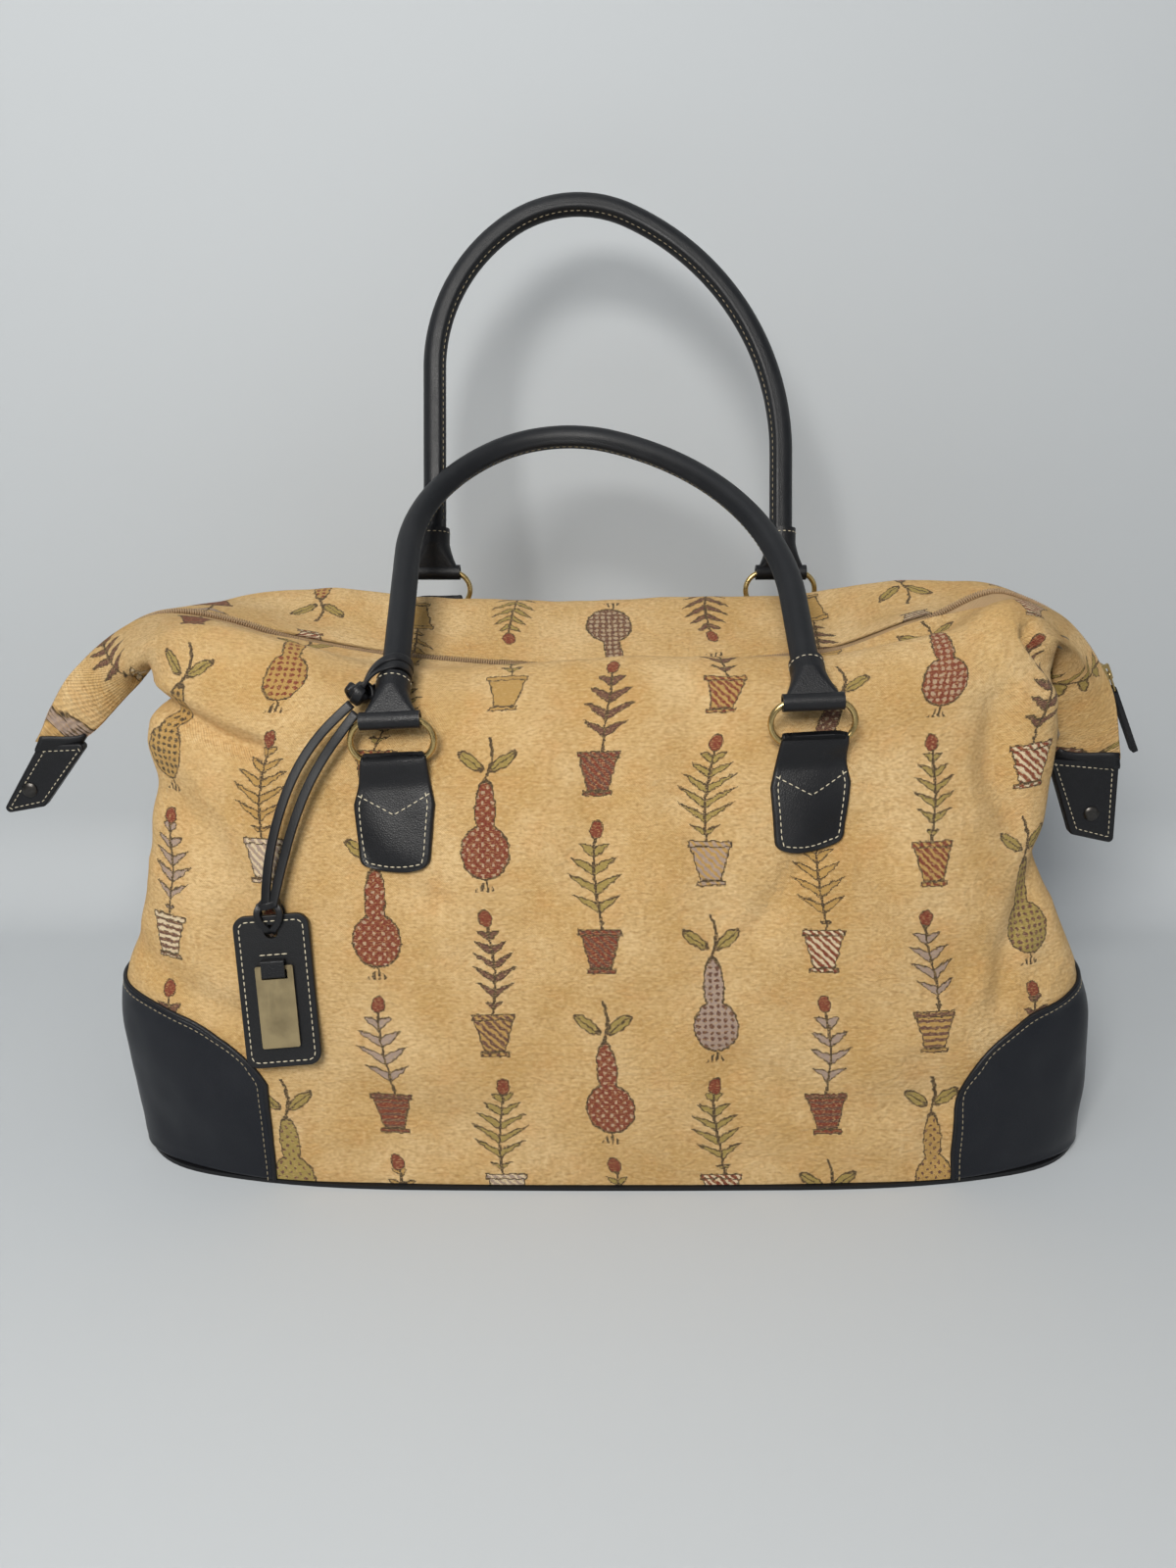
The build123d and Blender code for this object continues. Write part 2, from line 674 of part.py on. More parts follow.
def chape():
    """Leather end of a handle: rolled round the ring's upper bar, then closing to a sleeve."""
    roll = Rot(0, 90, 0) * Cylinder(chape_roll_radius, chape_roll_width)
    flat = Plane((0, 1.0, 0), x_dir=(1, 0, 0), z_dir=(0, 1, 0)) * RectangleRounded(chape_roll_width - 1, 6.4, 2.6)
    waist = Plane((0, 8.5, 0), x_dir=(1, 0, 0), z_dir=(0, 1, 0)) * RectangleRounded(21.0, 12.0, 5.4)
    neck = chape_length - 9.0
    throat = Plane((0, neck, 0), x_dir=(1, 0, 0), z_dir=(0, 1, 0)) * RectangleRounded(
        chape_sleeve_diameter, chape_sleeve_diameter, chape_sleeve_diameter / 2 - 0.2)
    flare = loft([flat, waist, throat])
    sleeve = Pos(0, (neck + chape_length) / 2, 0) * Rot(90, 0, 0) * Cylinder(
        chape_sleeve_diameter / 2, chape_length - neck)
    pocket_length = chape_length - chape_throat + 5
    pocket = Pos(0, chape_throat - 0.1 + pocket_length / 2, 0) * Rot(90, 0, 0) * Cylinder(
        tube_diameter / 2 + 0.1, pocket_length)
    return roll + flare + sleeve - pocket - bore(chape_roll_width)


def tag_plane():
    """Plane of the tag: origin at its hole, Y up the tag, Z out of its front."""
    lean, turn, yaw = (radians(a) for a in (tag_lean_deg, tag_turn_deg, tag_yaw_deg))
    up = Vector(-sin(turn), sin(lean) * cos(turn), cos(lean) * cos(turn))
    across = Vector(cos(turn) * cos(yaw), -sin(yaw), sin(turn) * cos(yaw))
    across = (across - up * across.dot(up)).normalized()
    return Plane(origin=tag_hang, x_dir=across, z_dir=across.cross(up))


TAG = tag_plane()
tag_top = 8.0
wrap_wire = 1.5
hitch_radius = 5.0
hitch_wire = 1.1
hitch_forward = 1.2
hitch_height = (tag_top + tag_hole_radius) / 2
loop_height = -17.5
bar_lift = tag_thickness / 2 + 1.7


def tag():
    body = Pos(0, tag_top - tag_length / 2, 0) * extrude(
        RectangleRounded(tag_width, tag_length, tag_corner), tag_thickness / 2, both=True)
    rim = body.edges().group_by(Axis.Z)[0] + body.edges().group_by(Axis.Z)[-1]
    body = fillet(rim, 0.6)
    return TAG * (body - Cylinder(tag_hole_radius, 10))


def tag_loop():
    outer = Pos(0, loop_height, tag_thickness / 2 + 2.4) * Box(loop_width, 8.6, 4.8)
    inner = Pos(0, loop_height, tag_thickness / 2 + 1.6) * Box(loop_width + 2, 4.0, 3.4)
    return TAG * (fillet(outer.edges().filter_by(Axis.X), 0.8) - inner)


def tag_plate():
    top = loop_height + 1.1
    sheet = extrude(RectangleRounded(plate_width, plate_length, 1.0), plate_thickness / 2, both=True)
    sheet = Pos(0, top - plate_length / 2, bar_lift) * sheet
    slot = Pos(0, top - 2.2 - 2.2, bar_lift) * Box(loop_width + 1.4, 4.4, 5)
    return TAG * (sheet - slot)


def lace_hitch():
    """Turn of the lace through the tag's hole and over its top edge."""
    return TAG * (Pos(0, hitch_height, hitch_forward) * Rot(0, 90, 0) * Torus(hitch_radius, hitch_wire))


def lace_wrap():
    """Two turns of the lace round the front handle's left leg, just past its chape."""
    leg = FRONT.leg_plane(-1)
    turn_radius = tube_diameter / 2 + 0.1 + wrap_wire
    turns = [Pos(0, chape_length + 0.2 + wrap_wire + k * 1.7 * wrap_wire, 0) * Rot(90, 0, 0)
             * Torus(turn_radius, wrap_wire) for k in (0, 1)]
    return leg * (turns[0] + turns[1])


def lace_knot():
    return Pos(*knot_place) * Sphere(knot_radius)


LACE_ROUTES = {
    "lace_outer": ((-125.5, -67.0, 239.0), (-135.0, -70.5, 231.0), (-145.0, -74.0, 220.0), (-153.5, -79.5, 206.5),
                   (-160.0, -86.0, 190.0), (-164.5, -92.3, 172.0), (-166.4, -98.0, 155.0), (-166.4, -100.2, 148.9)),
    "lace_inner": ((-123.0, -70.3, 235.6), (-129.5, -73.5, 227.5), (-138.5, -76.5, 215.5), (-146.5, -81.5, 202.0),
                   (-153.0, -87.5, 186.0), (-158.0, -93.2, 169.0), (-161.7, -98.6, 154.5), (-162.9, -100.6, 148.7)),
}
lace_thickness = 2.4


def lace_strand(name):
    """Lace strand: straight runs joined by tangent arcs as large as the runs allow."""
    points = [Vector(*p) for p in LACE_ROUTES[name]]
    radii = []
    for a, b, c in zip(points, points[1:], points[2:]):
        turn = radians((b - a).get_angle(c - b))
        shorter = min((b - a).length, (c - b).length)
        radii.append(0.45 * shorter / max(sin(turn / 2) / cos(turn / 2), 1e-3))
    path = FilletPolyline(*points, radius=radii)
    first = Plane(points[0], z_dir=points[1] - points[0])
    strand = sweep(first * Circle(lace_thickness / 2), path=path)
    length = path.length
    print(name, "length", round(length, 1), "radii", [round(r) for r in radii],
          "fill", round(strand.volume / (3.14159 * (lace_thickness / 2) ** 2 * length), 3))
    return strand


def as_solid(shape):
    solids = shape.solids()
    return solids[0] if len(solids) == 1 else Compound(children=list(solids))


def build():
    board_top = leather_base_thickness + soft_gap + board_thickness
    parts = {
        "front_panel": canvas_panel(-1),
        "back_panel": canvas_panel(1),
        "lining_front": lining(-1),
        "lining_back": lining(1),
        "lining_base": plate(-board_margin, board_top + soft_gap, board_top + soft_gap + lining_thickness),
        "base_panel": plate(leather_base_margin, 0.0, leather_base_thickness),
        "base_board": plate(-board_margin, board_top - board_thickness, board_top),
        "left_corner_patch": corner_patch(-1),
        "right_corner_patch": corner_patch(1),
        "left_wing_cap": wing_cap(-1),
        "right_wing_cap": wing_cap(1),
        "left_cap_stud": press_stud(-1),
        "right_cap_stud": press_stud(1),
        "zip_slider": zip_slider(),
        "zip_pull_bail": pull_bail(),
        "zip_pull_strap": pull_strap(),
        "tag": tag(),
        "tag_loop": tag_loop(),
        "tag_plate": tag_plate(),
        "lace_hitch": lace_hitch(),
        "lace_wrap": lace_wrap(),
        "lace_knot": lace_knot(),
    }
    for word, face in (("front", -1), ("back", 1)):
        near = zip_slit / 2
        parts[f"zip_tape_{word}"] = zip_strip(-tape_thickness, 0.0, near, tape_half_width, face)
        parts[f"zip_coil_{word}"] = zip_strip(0.05, coil_height, near, near + coil_width, face)
    for name in LACE_ROUTES:
        parts[name] = lace_strand(name)
    for word, place in (("front", FRONT), ("back", BACK)):
        parts[f"{word}_handle"] = place.handle * handle_tube()
        for hand, side in (("left", -1), ("right", 1)):
            parts[f"{word}_{hand}_ring"] = place.ring_plane(side) * ring()
            parts[f"{word}_{hand}_chape"] = place.leg_plane(side) * chape()
            parts[f"{word}_{hand}_tab"] = anchor_tab(place, side)
    return parts


if __name__ == "__main__":
    os.makedirs("parts", exist_ok=True)
    for name, shape in build().items():
        export_step(as_solid(shape), f"parts/{name}.step")
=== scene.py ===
"""Blender scene of a soft canvas weekend bag with black leather trim.

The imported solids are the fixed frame. The canvas panels, the leather tabs and corner
patches, the lace, the stitches and the zip's coils are built here in detail on the same
measured form; handles, rings, slider, caps and tag keep their solids and get materials.
"""
from __future__ import annotations

import json
import logging
import math
from dataclasses import dataclass
from enum import Enum
from typing import Callable, Iterable, Sequence

import bmesh
import bpy
import numpy as np
from bpy.types import Material, Node, NodeSocket, NodeTree, Object
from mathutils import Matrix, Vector, kdtree, noise

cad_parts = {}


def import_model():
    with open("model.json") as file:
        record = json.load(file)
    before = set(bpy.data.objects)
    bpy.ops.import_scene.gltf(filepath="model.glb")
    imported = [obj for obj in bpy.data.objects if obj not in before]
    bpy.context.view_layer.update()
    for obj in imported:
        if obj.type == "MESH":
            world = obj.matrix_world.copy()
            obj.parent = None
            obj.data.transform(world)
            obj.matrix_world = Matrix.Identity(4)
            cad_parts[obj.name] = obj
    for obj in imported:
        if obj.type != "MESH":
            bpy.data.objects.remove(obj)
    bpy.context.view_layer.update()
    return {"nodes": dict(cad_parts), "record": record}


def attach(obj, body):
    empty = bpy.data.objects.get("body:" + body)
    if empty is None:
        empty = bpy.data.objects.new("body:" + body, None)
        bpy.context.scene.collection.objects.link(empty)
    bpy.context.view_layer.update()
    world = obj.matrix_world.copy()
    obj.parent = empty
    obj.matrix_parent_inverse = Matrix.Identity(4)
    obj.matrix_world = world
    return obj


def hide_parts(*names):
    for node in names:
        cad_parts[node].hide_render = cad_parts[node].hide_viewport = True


log = logging.getLogger("weekend_bag")
MM = 0.001
Array = np.ndarray
Corners = tuple[tuple[float, float], ...]
Row = list[tuple[float, ...]]


class Body(str, Enum):
    """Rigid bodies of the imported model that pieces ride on."""

    BAG = "bag"
    FRONT_HANDLE = "front_handle_body"
    BACK_HANDLE = "back_handle_body"
    LACE = "lace"
    TAG = "luggage_tag"


class Slot(str, Enum):
    """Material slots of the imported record."""

    CANVAS = "canvas"
    LINING = "lining"
    TAPE = "tape"
    COIL = "coil"
    BOARD = "board"
    TRIM = "trim_leather"
    HANDLE = "handle_leather"
    TAG = "tag_leather"
    BASE = "base_leather"
    LACE = "lace"
    BRASS = "brass"
    PLATE = "plate_brass"


class Hand(Enum):
    """Ends of the bag, seen from its front."""

    LEFT = -1
    RIGHT = 1

    @property
    def word(self) -> str:
        """The end's name in lower case."""
        return self.name.lower()


# Form of the sewn canvas, in millimetres, as the solids have it

STATIONS = (0.0, 0.33, 0.52, 0.70, 0.86, 1.0)
LEVELS = (0.0, 0.25, 0.47, 0.68, 0.79, 0.86, 0.93, 1.0)
ALL_STATIONS = tuple(-s for s in reversed(STATIONS[1:])) + STATIONS
PATCH_ROW_HEIGHT = 80.0


def smooth_through(params: Sequence[float], values: Array, at: Array) -> Array:
    """Reads a smooth curve through values, given at params, at other parameters.

    Args:
        params: Increasing parameters of the known values.
        values: Known values; the first axis runs with params.
        at: Parameters to read.

    Returns:
        The values there; the first axis runs with at.
    """
    params, values = np.asarray(params, float), np.asarray(values, float)
    last = len(params) - 1
    slope = np.empty_like(values)
    for k in range(last + 1):
        a, b = max(k - 1, 0), min(k + 1, last)
        slope[k] = (values[b] - values[a]) / (params[b] - params[a])
    i = np.clip(np.searchsorted(params, at, side="right") - 1, 0, last - 1)
    span = params[i + 1] - params[i]
    u = (at - params[i]) / span
    shape = (len(at),) + (1,) * (values.ndim - 1)
    u, span = u.reshape(shape), span.reshape(shape)
    return (
        (1 + 2 * u) * (1 - u) ** 2 * values[i]
        + u * (1 - u) ** 2 * span * slope[i]
        + u * u * (3 - 2 * u) * values[i + 1]
        + u * u * (u - 1) * span * slope[i + 1]
    )


def smooth_step(low: float, high: float, value: Array) -> Array:
    """Goes from 0 at low to 1 at high, flat at both ends."""
    u = np.clip((value - low) / (high - low), 0.0, 1.0)
    return u * u * (3 - 2 * u)


def unit(vectors: Array) -> Array:
    """Vectors at length 1."""
    return vectors / np.linalg.norm(vectors, axis=-1, keepdims=True)


def run_length(points: Array, axis: int = 0) -> Array:
    """Length of each line of a grid, along one axis, up to each point."""
    steps = np.linalg.norm(np.diff(points, axis=axis), axis=-1)
    return np.concatenate([np.zeros_like(steps.take([0], axis=axis)), np.cumsum(steps, axis=axis)], axis=axis)


def read_grid(grid: Array, i: Array, j: Array) -> Array:
    """Reads a grid of points between its rows and columns.

    Args:
        grid: Points by row and column.
        i: Rows, with fractions.
        j: Columns, with fractions.

    Returns:
        One point for each pair.
    """
    i0 = np.minimum(i.astype(int), grid.shape[0] - 2)
    j0 = np.minimum(j.astype(int), grid.shape[1] - 2)
    a, b = (i - i0)[..., None], (j - j0)[..., None]
    return ((grid[i0, j0] * (1 - a) + grid[i0 + 1, j0] * a) * (1 - b)
            + (grid[i0, j0 + 1] * (1 - a) + grid[i0 + 1, j0 + 1] * a) * b)


@dataclass(frozen=True)
class Wing:
    """One end of the zip, where the panels narrow to a drooping wing."""

    notch: tuple[float, float]
    cap_low: tuple[float, float]
    swell: tuple[float, float]
    lift: tuple[float, float, float, float]
    flank: tuple[float, float]
    tip: tuple[float, float]
    corner: tuple[float, ...]


@dataclass(frozen=True)
class Face:
    """Depths and ridges of the front or the back panel."""

    sign: int
    depths: tuple[float, float, float]
    shoulder: tuple[float, float]
    crest: tuple[float, float]


@dataclass(frozen=True)
class BagForm:
    """Measured form of the bag, in millimetres."""

    base_width: float = 497.0
    base_depth: float = 208.0
    base_bow: float = 16.0
    floor: float = 2.5
    patch_row_width: float = 500.0
    waist_row_height: float = 150.0
    waist_width: float = 452.0
    tab_row_height: float = 215.0
    tab_row_width: float = 448.0
    corner_fall: float = 18.0
    side_tuck: float = 6.0
    lean_left: float = 8.0
    valley_height: float = 238.0
    zip_half_gap: float = 5.8
    canvas: float = 1.5
    seam_gap: float = 0.4
    wing_half: float = 23.0
    arc_centre: tuple[float, float] = (187.0, 200.0)
    arc_radius: float = 79.0
    left_cap_high: tuple[float, float] = (307.0, 198.0)
    right_cap_high: tuple[float, float] = (272.0, 188.5)


FORM = BagForm()
FRONT = Face(-1, (111.0, 95.0, 68.0), (50.0, 241.0), (30.0, 253.0))
BACK = Face(1, (109.0, 96.0, 80.0), (66.0, 250.0), (51.0, 265.0))
HANDLE_DIP = {(-1, -1): (8.0, 9.8, 4.5), (1, -1): (0.5, 1.5, 0.5)}
LEFT_WING = Wing((238.0, 241.0), (284.0, 199.5), (234.0, 246.0), (0.0, 1.0, 6.0, 9.0),
                 (246.0, 246.0), (262.0, 242.0), (213.0, 251.0, 212.0, 265.0, 216.0, 268.0))
RIGHT_WING = Wing((229.0, 249.0), (239.0, 191.5), (223.0, 256.0), (0.0, 2.0, 11.0, 15.0),
                  (237.0, 250.0), (252.0, 234.0), (205.0, 257.0, 199.0, 273.0, 206.0, 277.5))


class ZipLine:
    """Line of the zip in the bag's middle plane, from the left cap to the right one."""

    def __init__(self, form: BagForm, steps: int = 110) -> None:
        """Draws a smooth line through the guides of a form."""
        guides = np.array(self._guides(form))
        reach = run_length(guides)
        self.points = smooth_through(reach, guides, np.linspace(0.0, reach[-1], steps + 1))
        ends = np.pad(self.points, ((1, 1), (0, 0)), mode="edge")
        along = unit(ends[2:] - ends[:-2])
        self.normals = np.stack([-along[:, 1], along[:, 0]], axis=1)
        self.middle = int(np.argmin(np.abs(self.points[:, 0])))

    @staticmethod
    def _guides(form: BagForm) -> list[tuple[float, float]]:
        """Guide points in X and Z, from the left cap to the right one."""
        low, peak = form.valley_height, form.valley_height + 30.0
        left = [(-form.left_cap_high[0], form.left_cap_high[1]), (-299.0, 215.0), (-277.0, peak - 26.0),
                (-254.0, peak - 9.0), (-229.0, peak), (-200.0, peak - 4.0), (-155.0, peak - 18.0)]
        middle = [(-80.0, low + 4.0), (0.0, low), (80.0, low + 5.0), (140.0, low + 14.0), (168.0, low + 28.0)]
        arc = [(form.arc_centre[0] + form.arc_radius * math.cos(math.radians(a)),
                form.arc_centre[1] + form.arc_radius * math.sin(math.radians(a))) for a in (84, 69, 54, 39, 24, 8)]
        return left + middle + arc + [form.right_cap_high]

    def read(self, share: Array, lift: float) -> Array:
        """Points at shares from -1, the left end, to 1, the right end, lifted off the line.

        Args:
            share: Shares along the zip, 0 at the bag's middle.
            lift: Distance outside the line, in millimetres.

        Returns:
            One row of X and Z for each share.
        """
        last = len(self.points) - 1
        span = np.where(share < 0, self.middle, last - self.middle)
        place = self.middle + share * span
        k = np.clip(place.astype(int), 0, last - 1)
        u = (place - k)[:, None]
        point = self.points[k] * (1 - u) + self.points[k + 1] * u
        normal = self.normals[k] * (1 - u) + self.normals[k + 1] * u
        return point + normal * lift


ZIP = ZipLine(FORM)


def wall_row(side: int, height: float, width: float, depth: float,
             lean: float) -> Row:
    """Stations of one level row of the wall.

    Args:
        side: -1 for the left half, 1 for the right one.
        height: Height of the row.
        width: Full width there.
        depth: Depth at the middle.
        lean: Shift to the left.

    Returns:
        Places from the middle to the side seam.
    """
    half, corner = width / 2, depth - FORM.corner_fall
    tuck = FORM.side_tuck if height > PATCH_ROW_HEIGHT else 0.0
    flat = [(0.0, depth), (0.45 * half, depth - 0.08 * FORM.corner_fall),
            (0.74 * half, depth - 0.4 * FORM.corner_fall), (0.97 * half, 0.87 * corner),
            (half, 0.45 * corner), (half - tuck, FORM.seam_gap)]
    return [(side * x - lean, y, height) for x, y in flat]


def top_rows(side: int, face: Face) -> list[Row]:
    """Rows of the shoulder, the crest, the valley's slope and the zip, with the wing at their end.

    Args:
        side: -1 for the left half, 1 for the right one.
        face: Front or back of the bag.

    Returns:
        The four rows.
    """
    wing = LEFT_WING if side < 0 else RIGHT_WING
    dip = HANDLE_DIP.get((side, face.sign), (0.0, 0.0, 0.0))
    half, gap, shoulder, crest = FORM.wing_half, FORM.seam_gap, face.shoulder, face.crest
    lift, corner = wing.lift, wing.corner
    under = (wing.notch[0] + 0.4 * (wing.cap_low[0] - wing.notch[0]),
             wing.notch[1] + 0.4 * (wing.cap_low[1] - wing.notch[1]))
    slope_depth, slope_height = crest[0] * 0.48, (crest[1] + FORM.valley_height) / 2
    rows = [
        [(0, shoulder[0], shoulder[1]), (106, shoulder[0], shoulder[1] + lift[1] - dip[0]),
         (169, shoulder[0] - 3, shoulder[1] + lift[2]), (corner[0], 0.55 * shoulder[0] + 10, corner[1]),
         (wing.swell[0], half - 1, wing.swell[1]), (wing.notch[0], gap, wing.notch[1])],
        [(0, crest[0], crest[1]), (106, crest[0], crest[1] + lift[1] - dip[1]),
         (165, crest[0], crest[1] + lift[2]), (corner[2], 0.45 * crest[0] + 14, corner[3]),
         (wing.flank[0], half - 7, wing.flank[1]), (under[0], gap, under[1])],
        [(0, slope_depth, slope_height), (106, slope_depth, slope_height + 3 - dip[2]),
         (162, slope_depth + 1, slope_height + lift[3]), (corner[4], slope_depth + 2, corner[5]),
         (wing.tip[0], half - 12, wing.tip[1]), (wing.cap_low[0], gap, wing.cap_low[1])],
    ]
    edge = ZIP.read(side * np.array(STATIONS), FORM.canvas + 0.4)
    rows.append([(side * x, FORM.zip_half_gap, z) for x, z in edge])
    return [[(side * x, y, z) for x, y, z in row] for row in rows]


def half_rows(side: int, face: Face) -> list[Row]:
    """The eight rows of one half of one panel.

    Args:
        side: -1 for the left half, 1 for the right one.
        face: Front or back of the bag.

    Returns:
        The rows, from the base up.
    """
    lean = FORM.lean_left
    rows = [wall_row(side, FORM.floor, FORM.base_width, FORM.base_depth / 2 + FORM.base_bow, 0.0),
            wall_row(side, PATCH_ROW_HEIGHT, FORM.patch_row_width, face.depths[0], 0.6 * lean),
            wall_row(side, FORM.waist_row_height, FORM.waist_width, face.depths[1], lean),
            wall_row(side, FORM.tab_row_height, FORM.tab_row_width, face.depths[2], lean)]
    rows += top_rows(side, face)
    return [[(x, face.sign * y, z) for x, y, z in row] for row in rows]


def panel_rows(face: Face) -> Array:
    """All rows of one panel, from the left side seam to the right one."""
    rows = []
    for left, right in zip(half_rows(-1, face), half_rows(1, face)):
        middle = tuple((a + b) / 2 for a, b in zip(left[0], right[0]))
        rows.append(list(reversed(left[1:])) + [middle] + right[1:])
    return np.array(rows)


@dataclass(frozen=True)
class Fold:
    """Crease or soft ridge of the cloth along a line in X and Z."""

    line: Corners
    width: float
    depth: float

    def push(self, x: Array, z: Array) -> Array:
        """Distance that the fold moves the cloth outwards at each place."""
        best = np.full(x.shape, 1e9)
        for (ax, az), (bx, bz) in zip(self.line, self.line[1:]):
            dx, dz = bx - ax, bz - az
            u = np.clip(((x - ax) * dx + (z - az) * dz) / (dx * dx + dz * dz), 0.0, 1.0)
            best = np.minimum(best, np.hypot(x - ax - u * dx, z - az - u * dz))
        return self.depth * np.exp(-((best / self.width) ** 2))


FRONT_FOLDS = (
    Fold(((-246, 232), (-222, 229), (-198, 219), (-176, 214)), 5, -9.5),
    Fold(((-236, 247), (-210, 244), (-184, 233), (-160, 228)), 9, 3.6),
    Fold(((-228, 214), (-206, 205), (-188, 188)), 10, 2.4),
    Fold(((-226, 190), (-202, 176), (-186, 148), (-190, 122)), 11, -4.6),
    Fold(((-238, 112), (-208, 96), (-180, 88)), 8, -3.4),
    Fold(((-236, 150), (-214, 138), (-204, 116)), 9, 2.2),
    Fold(((205, 264), (212, 256), (217, 248), (219, 238), (221, 226)), 4.6, -8),
    Fold(((194, 262), (203, 246), (208, 226), (206, 200)), 8, 3.2),
    Fold(((188, 232), (186, 204), (196, 176)), 9, -4.2),
    Fold(((160, 212), (166, 184), (150, 158)), 12, 2),
    Fold(((118, 176), (140, 142), (170, 112)), 12, -4.6),
    Fold(((150, 178), (176, 142), (204, 122)), 9, 1.8),
    Fold(((216, 158), (196, 122), (192, 96)), 8, -4.6),
    Fold(((226, 128), (232, 106), (222, 96)), 9, 3),
    Fold(((60, 66), (120, 44), (168, 48)), 14, -2.8),
    Fold(((150, 66), (163, 40), (166, 12)), 8, -2.6),
    Fold(((-70, 214), (-52, 176), (-44, 136)), 16, -2.4),
    Fold(((-20, 232), (-8, 196), (-12, 156)), 15, -2.4),
    Fold(((40, 228), (34, 190), (52, 146)), 13, -3.4),
    Fold(((-130, 188), (-118, 164), (-88, 148)), 8, -3.4),
    Fold(((108, 182), (86, 160), (68, 134)), 8, -3.4),
    Fold(((-150, 66), (-120, 42), (-60, 34)), 15, -2),
)
# Where the full cloth bulges out beside each seam: middle X and Z, reach and height.
SIDE_SWELLS = ((1, 206.0, 40.0, 14.5), (1, 238.0, 15.0, 9.0), (-1, 186.0, 44.0, 7.5))
BACK_FOLDS = (
    Fold(((-236, 240), (-206, 232), (-176, 220)), 7, -5),
    Fold(((222, 244), (200, 222), (186, 196)), 8, -4.5),
    Fold(((-150, 200), (-120, 160), (-126, 110)), 16, -2.6),
    Fold(((130, 212), (112, 170), (136, 120)), 16, -2.4),
    Fold(((-30, 216), (-10, 170), (-26, 120)), 20, -1.8),
)
# Places where something lies on the cloth: it may only sink there. X and Z ranges.
HELD_FLAT = (
    ((-190, -138), (58, 152)),
    ((-138, -86), (218, 262)),
    ((78, 112), (226, 270)),
)
HEM = 14.0
NUDGE = np.array([0.0, 0.0, 0.01])


